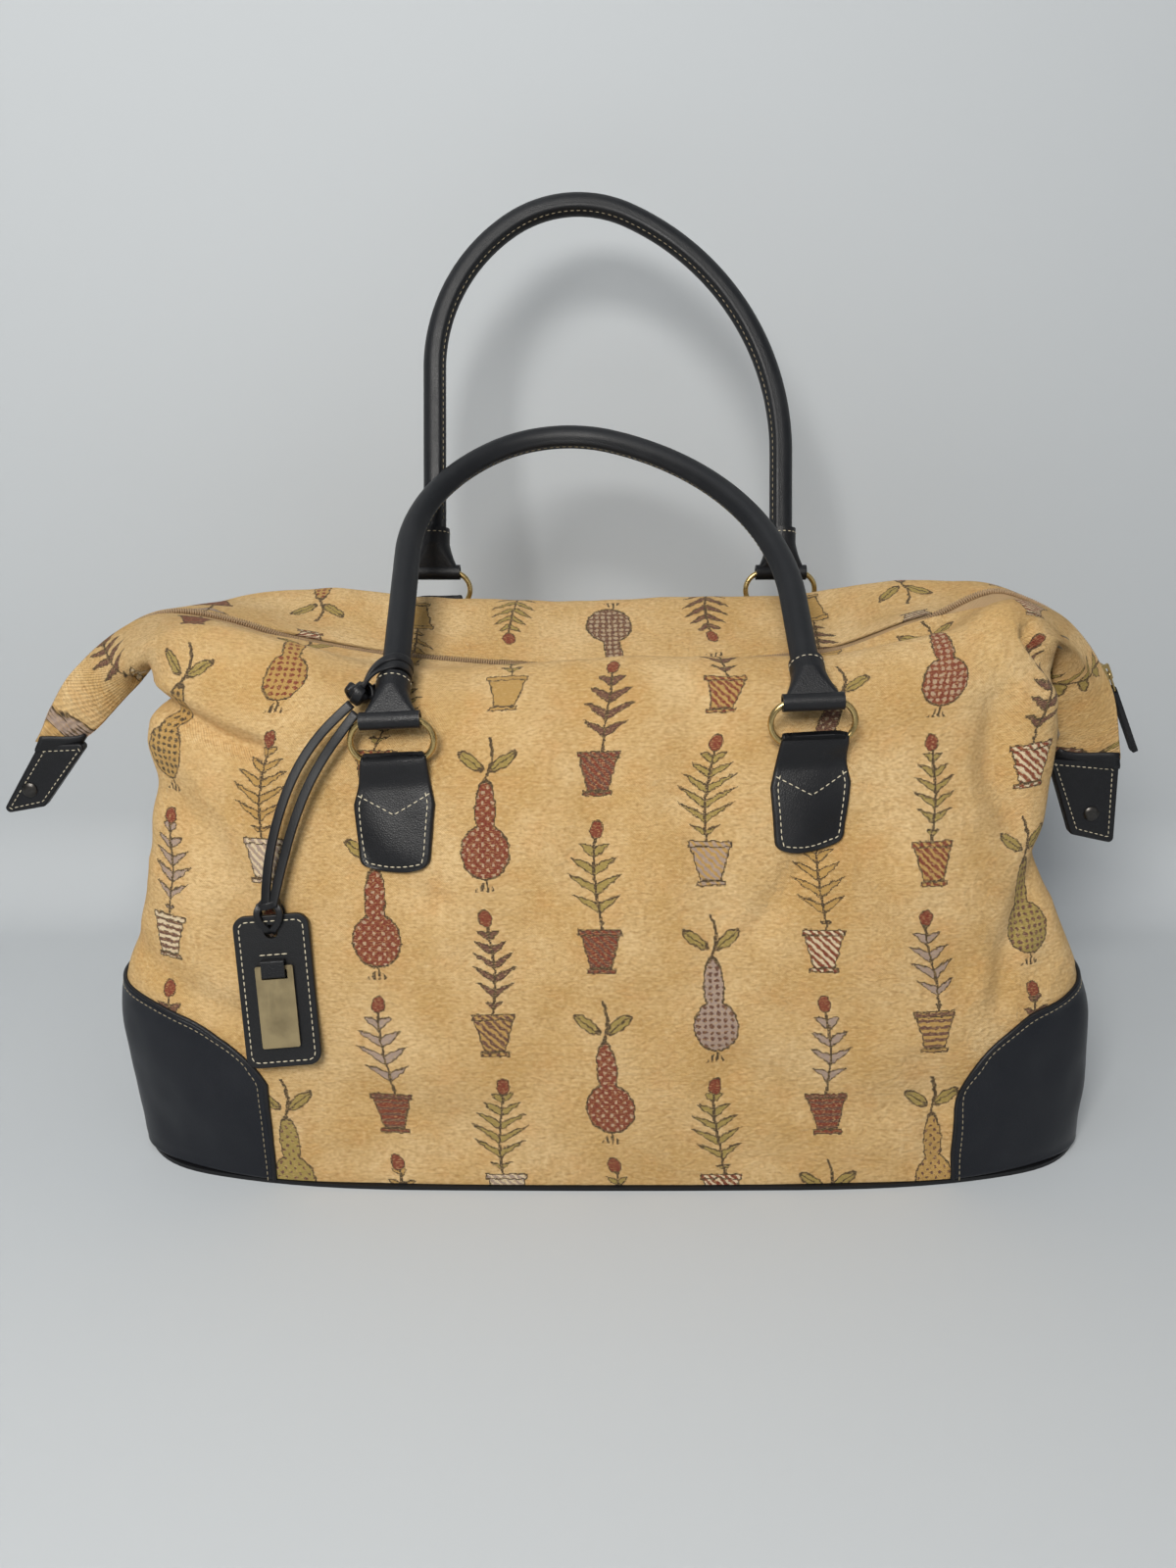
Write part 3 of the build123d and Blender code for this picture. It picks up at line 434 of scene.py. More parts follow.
class Cloth:
    """One panel of the bag, sampled finely, with its folds."""

    COLUMNS, ROWS = 361, 201

    def __init__(self, face: Face, folds: Sequence[Fold], seed: float) -> None:
        """Shapes one sheet.

        Args:
            face: Front or back of the bag.
            folds: Folds of its cloth.
            seed: Place in the noise that wrinkles it.
        """
        self.face = face
        self.s = np.linspace(-1.0, 1.0, self.COLUMNS)
        self.t = np.linspace(0.0, 1.0, self.ROWS)
        by_level = smooth_through(LEVELS, panel_rows(face), self.t)
        flat = smooth_through(ALL_STATIONS, by_level.transpose(1, 0, 2), self.s)
        normal = self._normals(flat)
        self.cloth_u, self.cloth_v = self._arc_lengths(flat)
        self.flat_width = float(np.ptp(self.cloth_u, axis=0).max())
        self.flat_height = float(self.cloth_v.max())
        self.points = flat + normal * self._push(flat, folds, seed)[..., None]
        self.normals = self._normals(self.points)
        self._tree = self._wall_tree()

    def _normals(self, points: Array) -> Array:
        """Outward unit normals of a grid of points."""
        across = np.gradient(points, self.s, axis=0)
        up = np.gradient(points, self.t, axis=1)
        normal = np.cross(across, up) * -self.face.sign
        return normal / np.maximum(np.linalg.norm(normal, axis=2, keepdims=True), 1e-9)

    @staticmethod
    def _arc_lengths(points: Array) -> tuple[Array, Array]:
        """Places on the flat cloth: along it from the middle and up it from the base."""
        u = run_length(points)
        return u - u[points.shape[0] // 2], run_length(points, 1)

    def _push(self, flat: Array, folds: Sequence[Fold], seed: float) -> Array:
        """Distance that folds, wrinkles and swells move the cloth.

        Args:
            flat: Points of the plain sheet.
            folds: Folds of the cloth.
            seed: Place in the noise.

        Returns:
            Distances outwards, in millimetres.
        """
        x, z = flat[..., 0], flat[..., 2]
        s, t = np.meshgrid(self.s, self.t, indexing="ij")
        wall = 1.0 - smooth_step(0.87, 0.94, t)
        push = sum((fold.push(x, z) for fold in folds), np.zeros(x.shape)) * wall
        broad, fine = np.empty(x.shape), np.empty(x.shape)
        for i, j in np.ndindex(x.shape):
            u, v = self.cloth_u[i, j], self.cloth_v[i, j]
            broad[i, j] = noise.noise((u / 62.0, v / 74.0, seed))
            fine[i, j] = noise.noise((u / 17.0, v / 21.0, seed + 7.0))
        push += (2.6 * broad + 0.8 * fine) * (0.35 + 0.65 * wall)
        room = np.full(x.shape, 1.5)
        if self.face.sign < 0:
            for (x_low, x_high), (z_low, z_high) in HELD_FLAT:
                inside = (smooth_step(x_low - 14, x_low, x) * (1 - smooth_step(x_high, x_high + 14, x))
                          * smooth_step(z_low - 14, z_low, z) * (1 - smooth_step(z_high, z_high + 14, z)))
                room = np.minimum(room, 1.5 - 1.5 * inside)
        push = np.minimum(push, room)
        free = smooth_step(0.0, 0.05, t) * (1 - smooth_step(0.94, 1.0, t))
        free = free * (1 - smooth_step(0.95, 1.0, np.abs(s)))
        seam = 1.3 * np.exp(-((1 - np.abs(s)) / 0.006) ** 2) * smooth_step(0.0, 0.08, t)
        for side, height, reach, swell in SIDE_SWELLS:
            near_seam = smooth_step(0.52, 0.97, side * s) * (1 - smooth_step(0.72, 0.81, t))
            seam = seam - swell * near_seam * np.exp(-(((z - height) / reach) ** 2))
        return push * free - seam

    @staticmethod
    def area(obj: Object) -> float:
        """Area of a mesh, in square metres."""
        return sum(face.area for face in obj.data.polygons)

    def _wall_tree(self) -> kdtree.KDTree:
        """Search tree of the wall's points by X and Z."""
        rows = int(np.searchsorted(self.t, 0.86))
        tree = kdtree.KDTree(self.COLUMNS * rows)
        for i in range(self.COLUMNS):
            for j in range(rows):
                x, _, z = self.points[i, j]
                tree.insert((x, z, 0.0), i * self.ROWS + j)
        tree.balance()
        return tree

    def at(self, s: Array, t: Array) -> tuple[Array, Array]:
        """Points and outward normals at places on the sheet.

        Args:
            s: Shares along the sheet, -1 to 1.
            t: Shares up the sheet, 0 to 1.

        Returns:
            Points in millimetres and unit normals.
        """
        i = np.clip((s + 1) / 2 * (self.COLUMNS - 1), 0, self.COLUMNS - 1.001)
        j = np.clip(t * (self.ROWS - 1), 0, self.ROWS - 1.001)
        return read_grid(self.points, i, j), unit(read_grid(self.normals, i, j))

    def locate(self, x: Array, z: Array) -> tuple[Array, Array]:
        """Places on the sheet's wall that lie at an X and Z.

        Args:
            x: X of the places.
            z: Z of the places.

        Returns:
            Shares along the sheet and up it.
        """
        shape = np.broadcast(x, z).shape
        xs, zs = (np.broadcast_to(v, shape).ravel() for v in (x, z))
        found = np.array([self._tree.find((a, b, 0.0))[1] for a, b in zip(xs, zs)])
        s, t = self.s[found // self.ROWS], self.t[found % self.ROWS]
        step = 0.004
        for _ in range(3):
            here = self.at(s, t)[0]
            by_s = (self.at(np.clip(s + step, -1, 1), t)[0] - here) / step
            by_t = (self.at(s, np.clip(t + step, 0, 1))[0] - here) / step
            dx, dz = xs - here[:, 0], zs - here[:, 2]
            det = by_s[:, 0] * by_t[:, 2] - by_t[:, 0] * by_s[:, 2]
            det = np.where(np.abs(det) < 1e-3, 1e-3, det)
            s = np.clip(s + np.clip((dx * by_t[:, 2] - by_t[:, 0] * dz) / det, -0.02, 0.02), -1, 1)
            t = np.clip(t + np.clip((by_s[:, 0] * dz - dx * by_s[:, 2]) / det, -0.02, 0.02), 0, 0.9)
        return s.reshape(shape), t.reshape(shape)


# Meshes


def new_object(name: str, vertices: Array, faces: Sequence[Sequence[int]]) -> Object:
    """Mesh object in the bag's frame from vertices in millimetres."""
    mesh = bpy.data.meshes.new(name)
    mesh.from_pydata((np.asarray(vertices) * MM).tolist(), [], [list(f) for f in faces])
    mesh.validate()
    mesh.update()
    mesh.polygons.foreach_set("use_smooth", [True] * len(mesh.polygons))
    obj = bpy.data.objects.new(name, mesh)
    bpy.context.scene.collection.objects.link(obj)
    return obj


def grid_faces(rows: int, columns: int, start: int = 0, flip: bool = False,
               close_rows: bool = False, close_columns: bool = False) -> list[tuple[int, ...]]:
    """Quads over a grid of vertices that was flattened row by row.

    Args:
        rows: Number of rows.
        columns: Number of columns.
        start: Index of the first vertex.
        flip: Whether the faces turn round.
        close_rows: Whether the last row joins the first.
        close_columns: Whether the last column joins the first.

    Returns:
        The faces.
    """
    faces = []
    for i in range(rows if close_rows else rows - 1):
        for j in range(columns if close_columns else columns - 1):
            a, b = i, (i + 1) % rows
            c, d = j, (j + 1) % columns
            corners = ((a, c), (b, c), (b, d), (a, d))
            quad = tuple(start + row * columns + column for row, column in corners)
            faces.append(tuple(reversed(quad)) if flip else quad)
    return faces


def grid_object(name: str, grid: Array, flip: bool = False, close_columns: bool = False) -> Object:
    """Mesh object over a grid of points in millimetres."""
    faces = grid_faces(*grid.shape[:2], flip=flip, close_columns=close_columns)
    return new_object(name, grid.reshape(-1, 3), faces)


def set_uv(obj: Object, per_vertex: Array, name: str = "Cloth") -> None:
    """UV layer from one pair of values for each vertex."""
    layer = obj.data.uv_layers.new(name=name)
    corner = np.empty(len(obj.data.loops), int)
    obj.data.loops.foreach_get("vertex_index", corner)
    layer.data.foreach_set("uv", per_vertex[corner].astype(float).ravel())


def canvas_panel(name: str, cloth: Cloth) -> Object:
    """Canvas panel with a rounded turned hem along the zip and a short way of its inside.

    Args:
        name: Object name.
        cloth: Sheet that it follows.

    Returns:
        The panel.
    """
    points, normals = cloth.points, cloth.normals
    end, up, out = points[:, -1], unit(points[:, -1] - points[:, -2]), normals[:, -1]
    radius = FORM.canvas / 2
    rim = [end - out * radius + radius * (out * math.cos(a) + up * math.sin(a))
           for a in np.linspace(0.35, math.pi, 7)]
    inside = [points[:, k] - normals[:, k] * FORM.canvas for k in range(cloth.ROWS - 2, cloth.ROWS - 16, -2)]
    extra = np.stack(rim + inside, axis=1)
    count = extra.shape[1]
    u = np.concatenate([cloth.cloth_u, np.repeat(cloth.cloth_u[:, -1:], count, axis=1)], axis=1)
    v = np.concatenate([cloth.cloth_v, cloth.cloth_v[:, -1:] + np.linspace(0.4, HEM, count)], axis=1)
    grid = np.concatenate([points, extra], axis=1)
    obj = grid_object(name, grid, flip=cloth.face.sign < 0)
    set_uv(obj, np.stack([u.ravel(), v.ravel()], axis=1) * MM)
    return obj


def inner_shell(name: str, cloth: Cloth, lift: float) -> Object:
    """Plain inner face of a panel, at a distance behind its outer face."""
    low, high = int(0.02 * cloth.ROWS), int(0.93 * cloth.ROWS)
    grid = (cloth.points + cloth.normals * lift)[::2, low:high:2]
    return grid_object(name, grid, flip=cloth.face.sign > 0)


def edge_spread(count: int, edge: float, width: float) -> Array:
    """Shares from 0 to 1 that lie close together near both ends."""
    near = np.array([0.0, 0.12, 0.3, 0.55, 0.8, 1.0]) * min(edge / width, 0.3)
    return np.concatenate([near, np.linspace(near[-1], 1 - near[-1], count)[1:-1], 1 - near[::-1]])


def border_distance(points: Array) -> Array:
    """Distance of each point of a grid to the grid's border, along its rows and columns."""
    i, j = run_length(points), run_length(points, 1)
    return np.minimum(np.minimum(i, i[-1:] - i), np.minimum(j, j[:, -1:] - j))


def grid_normals(points: Array) -> Array:
    """Unit normals of a grid of points."""
    normal = np.cross(np.gradient(points, axis=0), np.gradient(points, axis=1))
    return normal / np.maximum(np.linalg.norm(normal, axis=2, keepdims=True), 1e-9)


def leather_piece(name: str, points: Array, normals: Array, lift: float, thickness: float,
                  edge: float, hollow: float = 0.0) -> Object:
    """Closed leather piece with rounded edges on a grid of points.

    Args:
        name: Object name.
        points: Grid of points on what carries the piece, in millimetres.
        normals: Outward unit normals there.
        lift: Height of the piece's lower face.
        thickness: Thickness of the leather.
        edge: Width over which its edge rounds off.
        hollow: How far the stitched border is pressed in.

    Returns:
        The piece.
    """
    away = border_distance(points)
    rounding = np.sqrt(np.clip(1 - (1 - np.minimum(away / edge, 1.0)) ** 2, 0, 1))
    groove = hollow * np.exp(-(((away - 3.2) / 0.9) ** 2))
    upper = points + normals * (lift + thickness * (0.25 + 0.75 * rounding) - groove)[..., None]
    lower = points + normals * lift
    rows, columns = points.shape[:2]
    count = rows * columns
    vertices = np.concatenate([upper.reshape(-1, 3), lower.reshape(-1, 3)])
    faces = grid_faces(rows, columns) + grid_faces(rows, columns, count, flip=True)
    border = [(i, 0) for i in range(rows)] + [(rows - 1, j) for j in range(1, columns)]
    border += [(i, columns - 1) for i in range(rows - 2, -1, -1)] + [(0, j) for j in range(columns - 2, 0, -1)]
    ring = [i * columns + j for i, j in border]
    for a, b in zip(ring, ring[1:] + ring[:1]):
        faces.append((a, a + count, b + count, b))
    obj = new_object(name, vertices, faces)
    face_out(obj)
    return obj


def face_out(obj: Object) -> None:
    """Turns a closed mesh's faces outwards."""
    work = bmesh.new()
    work.from_mesh(obj.data)
    bmesh.ops.recalc_face_normals(work, faces=work.faces)
    work.to_mesh(obj.data)
    work.free()


def sweep(name: str, path: Array, out: Array, profile: Array, closed: bool = False) -> Object:
    """Profile drawn along a path.

    Args:
        name: Object name.
        path: Points of the path.
        out: Direction of the profile's second coordinate at each.
        profile: Points of the profile, across and out.
        closed: Whether the path joins up.

    Returns:
        The swept piece.
    """
    path, out = np.asarray(path, float), np.asarray(out, float)
    along = (np.roll(path, -1, axis=0) - np.roll(path, 1, axis=0)) if closed else np.gradient(path, axis=0)
    along = unit(along)
    out = unit(out - along * np.sum(out * along, axis=1, keepdims=True))
    across = np.cross(along, out)
    rings = path[:, None] + across[:, None] * profile[None, :, :1] + out[:, None] * profile[None, :, 1:2]
    rows, columns = rings.shape[:2]
    faces = grid_faces(rows, columns, close_rows=closed, close_columns=True)
    if not closed:
        faces += [tuple(range(columns)), tuple(reversed([(rows - 1) * columns + k for k in range(columns)]))]
    obj = new_object(name, rings.reshape(-1, 3), faces)
    face_out(obj)
    return obj


def round_profile(radius: float, count: int = 12) -> Array:
    """Circle as a sweep profile."""
    a = np.linspace(0, 2 * math.pi, count, endpoint=False)
    return np.stack([np.cos(a), np.sin(a)], axis=1) * radius


def strap_profile(width: float, thickness: float, count: int = 20) -> Array:
    """Flat strap with rounded edges as a sweep profile."""
    a = np.linspace(0, 2 * math.pi, count, endpoint=False)
    c, s = np.cos(a), np.sin(a)
    return np.stack([np.sign(c) * np.abs(c) ** 0.35 * width / 2,
                     np.sign(s) * np.abs(s) ** 0.5 * thickness / 2], axis=1)


def even_points(points: Array, step: float) -> Array:
    """The same line with points at even distances."""
    line = np.asarray(points, float)
    reach = run_length(line)
    at = np.linspace(0, reach[-1], max(int(reach[-1] / step), 3) + 1)
    return np.stack([np.interp(at, reach, line[:, k]) for k in range(3)], axis=1)


def smoothed(line: Array, passes: int) -> Array:
    """Evens out an open line, with its ends kept."""
    line = line.copy()
    for _ in range(passes):
        line[1:-1] = (line[:-2] + 2 * line[1:-1] + line[2:]) / 4
    return line


# Repeated beads: stitches and coil turns, by one node group


@dataclass(frozen=True)
class Bead:
    """Distance from bead to bead, and a bead's length and radius, in millimetres."""

    pitch: float
    length: float
    radius: float


class BeadRow:
    """Rows of small elongated beads along lines, made by a Geometry Nodes group and baked."""

    def __init__(self) -> None:
        """Builds the node group once."""
        self.group = self._group()

    @staticmethod
    def _group() -> NodeTree:
        """Geometry Nodes group that puts beads along a mesh line."""
        tree = bpy.data.node_groups.new("Bead row", "GeometryNodeTree")
        face = tree.interface
        face.new_socket("Geometry", in_out="INPUT", socket_type="NodeSocketGeometry")
        for label in ("Pitch", "Half length", "Radius"):
            face.new_socket(label, in_out="INPUT", socket_type="NodeSocketFloat")
        face.new_socket("Material", in_out="INPUT", socket_type="NodeSocketMaterial")
        face.new_socket("Geometry", in_out="OUTPUT", socket_type="NodeSocketGeometry")
        add, link = tree.nodes.new, tree.links.new
        given, result = add("NodeGroupInput"), add("NodeGroupOutput")
        curve, points = add("GeometryNodeMeshToCurve"), add("GeometryNodeCurveToPoints")
        points.mode = "LENGTH"
        bead, place = add("GeometryNodeMeshUVSphere"), add("GeometryNodeInstanceOnPoints")
        bead.inputs["Segments"].default_value, bead.inputs["Rings"].default_value = 8, 6
        bead.inputs["Radius"].default_value = 1.0
        size, real = add("ShaderNodeCombineXYZ"), add("GeometryNodeRealizeInstances")
        smooth, paint = add("GeometryNodeSetShadeSmooth"), add("GeometryNodeSetMaterial")
        link(given.outputs["Geometry"], curve.inputs[0])
        link(curve.outputs[0], points.inputs["Curve"])
        link(given.outputs["Pitch"], points.inputs["Length"])
        link(points.outputs["Points"], place.inputs["Points"])
        link(points.outputs["Rotation"], place.inputs["Rotation"])
        link(bead.outputs["Mesh"], place.inputs["Instance"])
        for k, label in enumerate(("Radius", "Radius", "Half length")):
            link(given.outputs[label], size.inputs[k])
        link(size.outputs[0], place.inputs["Scale"])
        link(place.outputs[0], real.inputs[0])
        link(real.outputs[0], smooth.inputs[0])
        link(smooth.outputs[0], paint.inputs[0])
        link(given.outputs["Material"], paint.inputs["Material"])
        link(paint.outputs[0], result.inputs[0])
        return tree

    def bake(self, name: str, lines: Iterable[Array], bead: Bead, material: Material,
             body: Body = Body.BAG, slot: Slot = Slot.TRIM) -> Object:
        """Beads along lines as one plain mesh.

        Args:
            name: Object name.
            lines: Lines of points, in millimetres.
            bead: Sizes of the beads.
            material: Material of the beads.
            body: Body that they ride on.
            slot: Not used.

        Returns:
            The baked object.
        """
        vertices, edges, start = [], [], 0
        for line in lines:
            line = even_points(np.asarray(line), 1.0)
            vertices.append(line)
            edges += [(start + k, start + k + 1) for k in range(len(line) - 1)]
            start += len(line)
        mesh = bpy.data.meshes.new(name + "_line")
        mesh.from_pydata((np.concatenate(vertices) * MM).tolist(), edges, [])
        holder = bpy.data.objects.new(name + "_line", mesh)
        bpy.context.scene.collection.objects.link(holder)
        modifier = holder.modifiers.new("Beads", "NODES")
        modifier.node_group = self.group
        values = {"Pitch": bead.pitch * MM, "Half length": bead.length / 2 * MM, "Radius": bead.radius * MM,
                  "Material": material}
        for item in self.group.interface.items_tree:
            if item.in_out == "INPUT" and item.name in values:
                modifier[item.identifier] = values[item.name]
        depsgraph = bpy.context.evaluated_depsgraph_get()
        baked = bpy.data.meshes.new_from_object(holder.evaluated_get(depsgraph), depsgraph=depsgraph)
        baked.name = name
        obj = bpy.data.objects.new(name, baked)
        bpy.context.scene.collection.objects.link(obj)
        bpy.data.objects.remove(holder)
        bpy.data.meshes.remove(mesh)
        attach(obj, body.value)
        log.info("%s rides on %s", name, body.value)
        return obj


# Shaders

Colour = tuple[float, float, float]


def feed(tree: NodeTree, value: object, target: NodeSocket) -> None:
    """Links a signal or a socket to an input, or sets a plain value there."""
    value = value.socket if isinstance(value, Signal) else value
    if isinstance(value, NodeSocket):
        tree.links.new(value, target)
    else:
        target.default_value = value


def set_inputs(node: Node, **values: object) -> None:
    """Links or sets a node's inputs, whose names have underscores for blanks."""
    for key, value in values.items():
        feed(node.id_data, value, node.inputs[key.replace("_", " ")])


def math_step(operation: str) -> Callable[..., Signal]:
    """Method of Signal that adds one math node.

    Args:
        operation: Operation of the node.

    Returns:
        The method, which takes the other numbers.
    """
    def step(self: Signal, *others: Number) -> Signal:
        """Result of the operation."""
        node = self.tree.nodes.new("ShaderNodeMath")
        node.operation = operation
        for k, value in enumerate((self, *others)):
            feed(self.tree, value, node.inputs[k])
        return Signal(self.tree, node.outputs[0])

    return step


class Signal:
    """A number in a shader tree that can be calculated with."""

    def __init__(self, tree: NodeTree, socket: NodeSocket) -> None:
        """Holds a socket and the tree that it is in."""
        self.tree, self.socket = tree, socket

    __add__, __sub__ = math_step("ADD"), math_step("SUBTRACT")
    __mul__, __truediv__ = math_step("MULTIPLY"), math_step("DIVIDE")
    __abs__, floor, fract = math_step("ABSOLUTE"), math_step("FLOOR"), math_step("FRACT")
    lower, upper = math_step("MINIMUM"), math_step("MAXIMUM")
    below, above = math_step("LESS_THAN"), math_step("GREATER_THAN")
    sine, power = math_step("SINE"), math_step("POWER")

    def ramp(self, low: float, high: float, to_low: float = 0.0, to_high: float = 1.0) -> Signal:
        """Maps low and high to two values, clamped."""
        node = self.tree.nodes.new("ShaderNodeMapRange")
        set_inputs(node, Value=self, From_Min=low, From_Max=high, To_Min=to_low, To_Max=to_high)
        return Signal(self.tree, node.outputs["Result"])


Number = Signal | float


class Painter:
    """Short calls for building one shader tree."""

    def __init__(self, tree: NodeTree) -> None:
        """Paints in one tree."""
        self.tree = tree

    def node(self, kind: str, **settings: object) -> Node:
        """New node of a kind, with its settings."""
        node = self.tree.nodes.new(kind)
        for key, value in settings.items():
            setattr(node, key, value)
        return node

    def link(self, source: NodeSocket | Signal, target: NodeSocket) -> None:
        """Links a socket or a signal to an input."""
        feed(self.tree, source, target)

    def vector(self, x: Number, y: Number, z: Number = 0.0) -> NodeSocket:
        """Vector from three numbers."""
        node = self.node("ShaderNodeCombineXYZ")
        for k, value in enumerate((x, y, z)):
            feed(self.tree, value, node.inputs[k])
        return node.outputs[0]

    def parts(self, vector: NodeSocket) -> tuple[Signal, Signal, Signal]:
        """The three numbers of a vector or colour."""
        node = self.node("ShaderNodeSeparateXYZ")
        self.link(vector, node.inputs[0])
        return tuple(Signal(self.tree, node.outputs[k]) for k in range(3))

    def noise(self, vector: NodeSocket, scale: float, detail: float = 2.0, rough: float = 0.5) -> Signal:
        """Soft noise at each place of a vector."""
        node = self.node("ShaderNodeTexNoise")
        set_inputs(node, Vector=vector, Scale=scale, Detail=detail, Roughness=rough)
        return Signal(self.tree, node.outputs[0])

    def cells(self, vector: NodeSocket, scale: float) -> Signal:
        """Distance to the edge of irregular cells."""
        node = self.node("ShaderNodeTexVoronoi", feature="DISTANCE_TO_EDGE")
        set_inputs(node, Vector=vector, Scale=scale)
        return Signal(self.tree, node.outputs["Distance"])

    def mix(self, factor: Number, a: Colour | NodeSocket, b: Colour | NodeSocket) -> NodeSocket:
        """Blend of two colours.

        Args:
            factor: Share of the second colour.
            a: First colour.
            b: Second colour.

        Returns:
            The blended colour.
        """
        node = self.node("ShaderNodeMix", data_type="RGBA")
        feed(self.tree, factor, node.inputs[0])
        for k, value in ((6, a), (7, b)):
            feed(self.tree, (*value, 1.0) if isinstance(value, tuple) else value, node.inputs[k])
        return node.outputs[2]

    def bump(self, height: Signal | NodeSocket, distance: float, strength: float = 1.0,
             normal: NodeSocket | None = None) -> NodeSocket:
        """Normal that a height gives.

        Args:
            height: Height over the surface.
            distance: Depth of a height of 1, in metres.
            strength: Strength of the effect.
            normal: Normal that it is added to.

        Returns:
            The bumped normal.
        """
        node = self.node("ShaderNodeBump")
        set_inputs(node, Strength=strength, Distance=distance, Height=height)
        if normal is not None:
            self.link(normal, node.inputs["Normal"])
        return node.outputs[0]

    def group(self, tree: NodeTree, **values: object) -> Node:
        """Node of a shader group, with its inputs linked or set."""
        node = self.node("ShaderNodeGroup")
        node.node_tree = tree
        set_inputs(node, **values)
        return node


def shader_group(name: str, inputs: dict[str, str],
                 outputs: dict[str, str]) -> tuple[Painter, Node, Node]:
    """Empty shader node group with its two end nodes."""
    tree = bpy.data.node_groups.new(name, "ShaderNodeTree")
    for label, kind in inputs.items():
        tree.interface.new_socket(label, in_out="INPUT", socket_type="NodeSocket" + kind)
    for label, kind in outputs.items():
        tree.interface.new_socket(label, in_out="OUTPUT", socket_type="NodeSocket" + kind)
    return Painter(tree), tree.nodes.new("NodeGroupInput"), tree.nodes.new("NodeGroupOutput")


@dataclass(frozen=True)
class Yarn:
    """Colours of the woven pattern, linear."""

    ground: Colour = (0.64, 0.405, 0.155)
    ground_light: Colour = (0.78, 0.55, 0.27)
    ground_warm: Colour = (0.68, 0.375, 0.135)
    outline: Colour = (0.060, 0.040, 0.024)
    olive: Colour = (0.36, 0.27, 0.075)
    ochre: Colour = (0.50, 0.30, 0.09)
    burgundy: Colour = (0.21, 0.035, 0.022)
    plum: Colour = (0.13, 0.055, 0.045)
    lilac: Colour = (0.40, 0.30, 0.25)
    cream: Colour = (0.75, 0.62, 0.42)


YARN = Yarn()


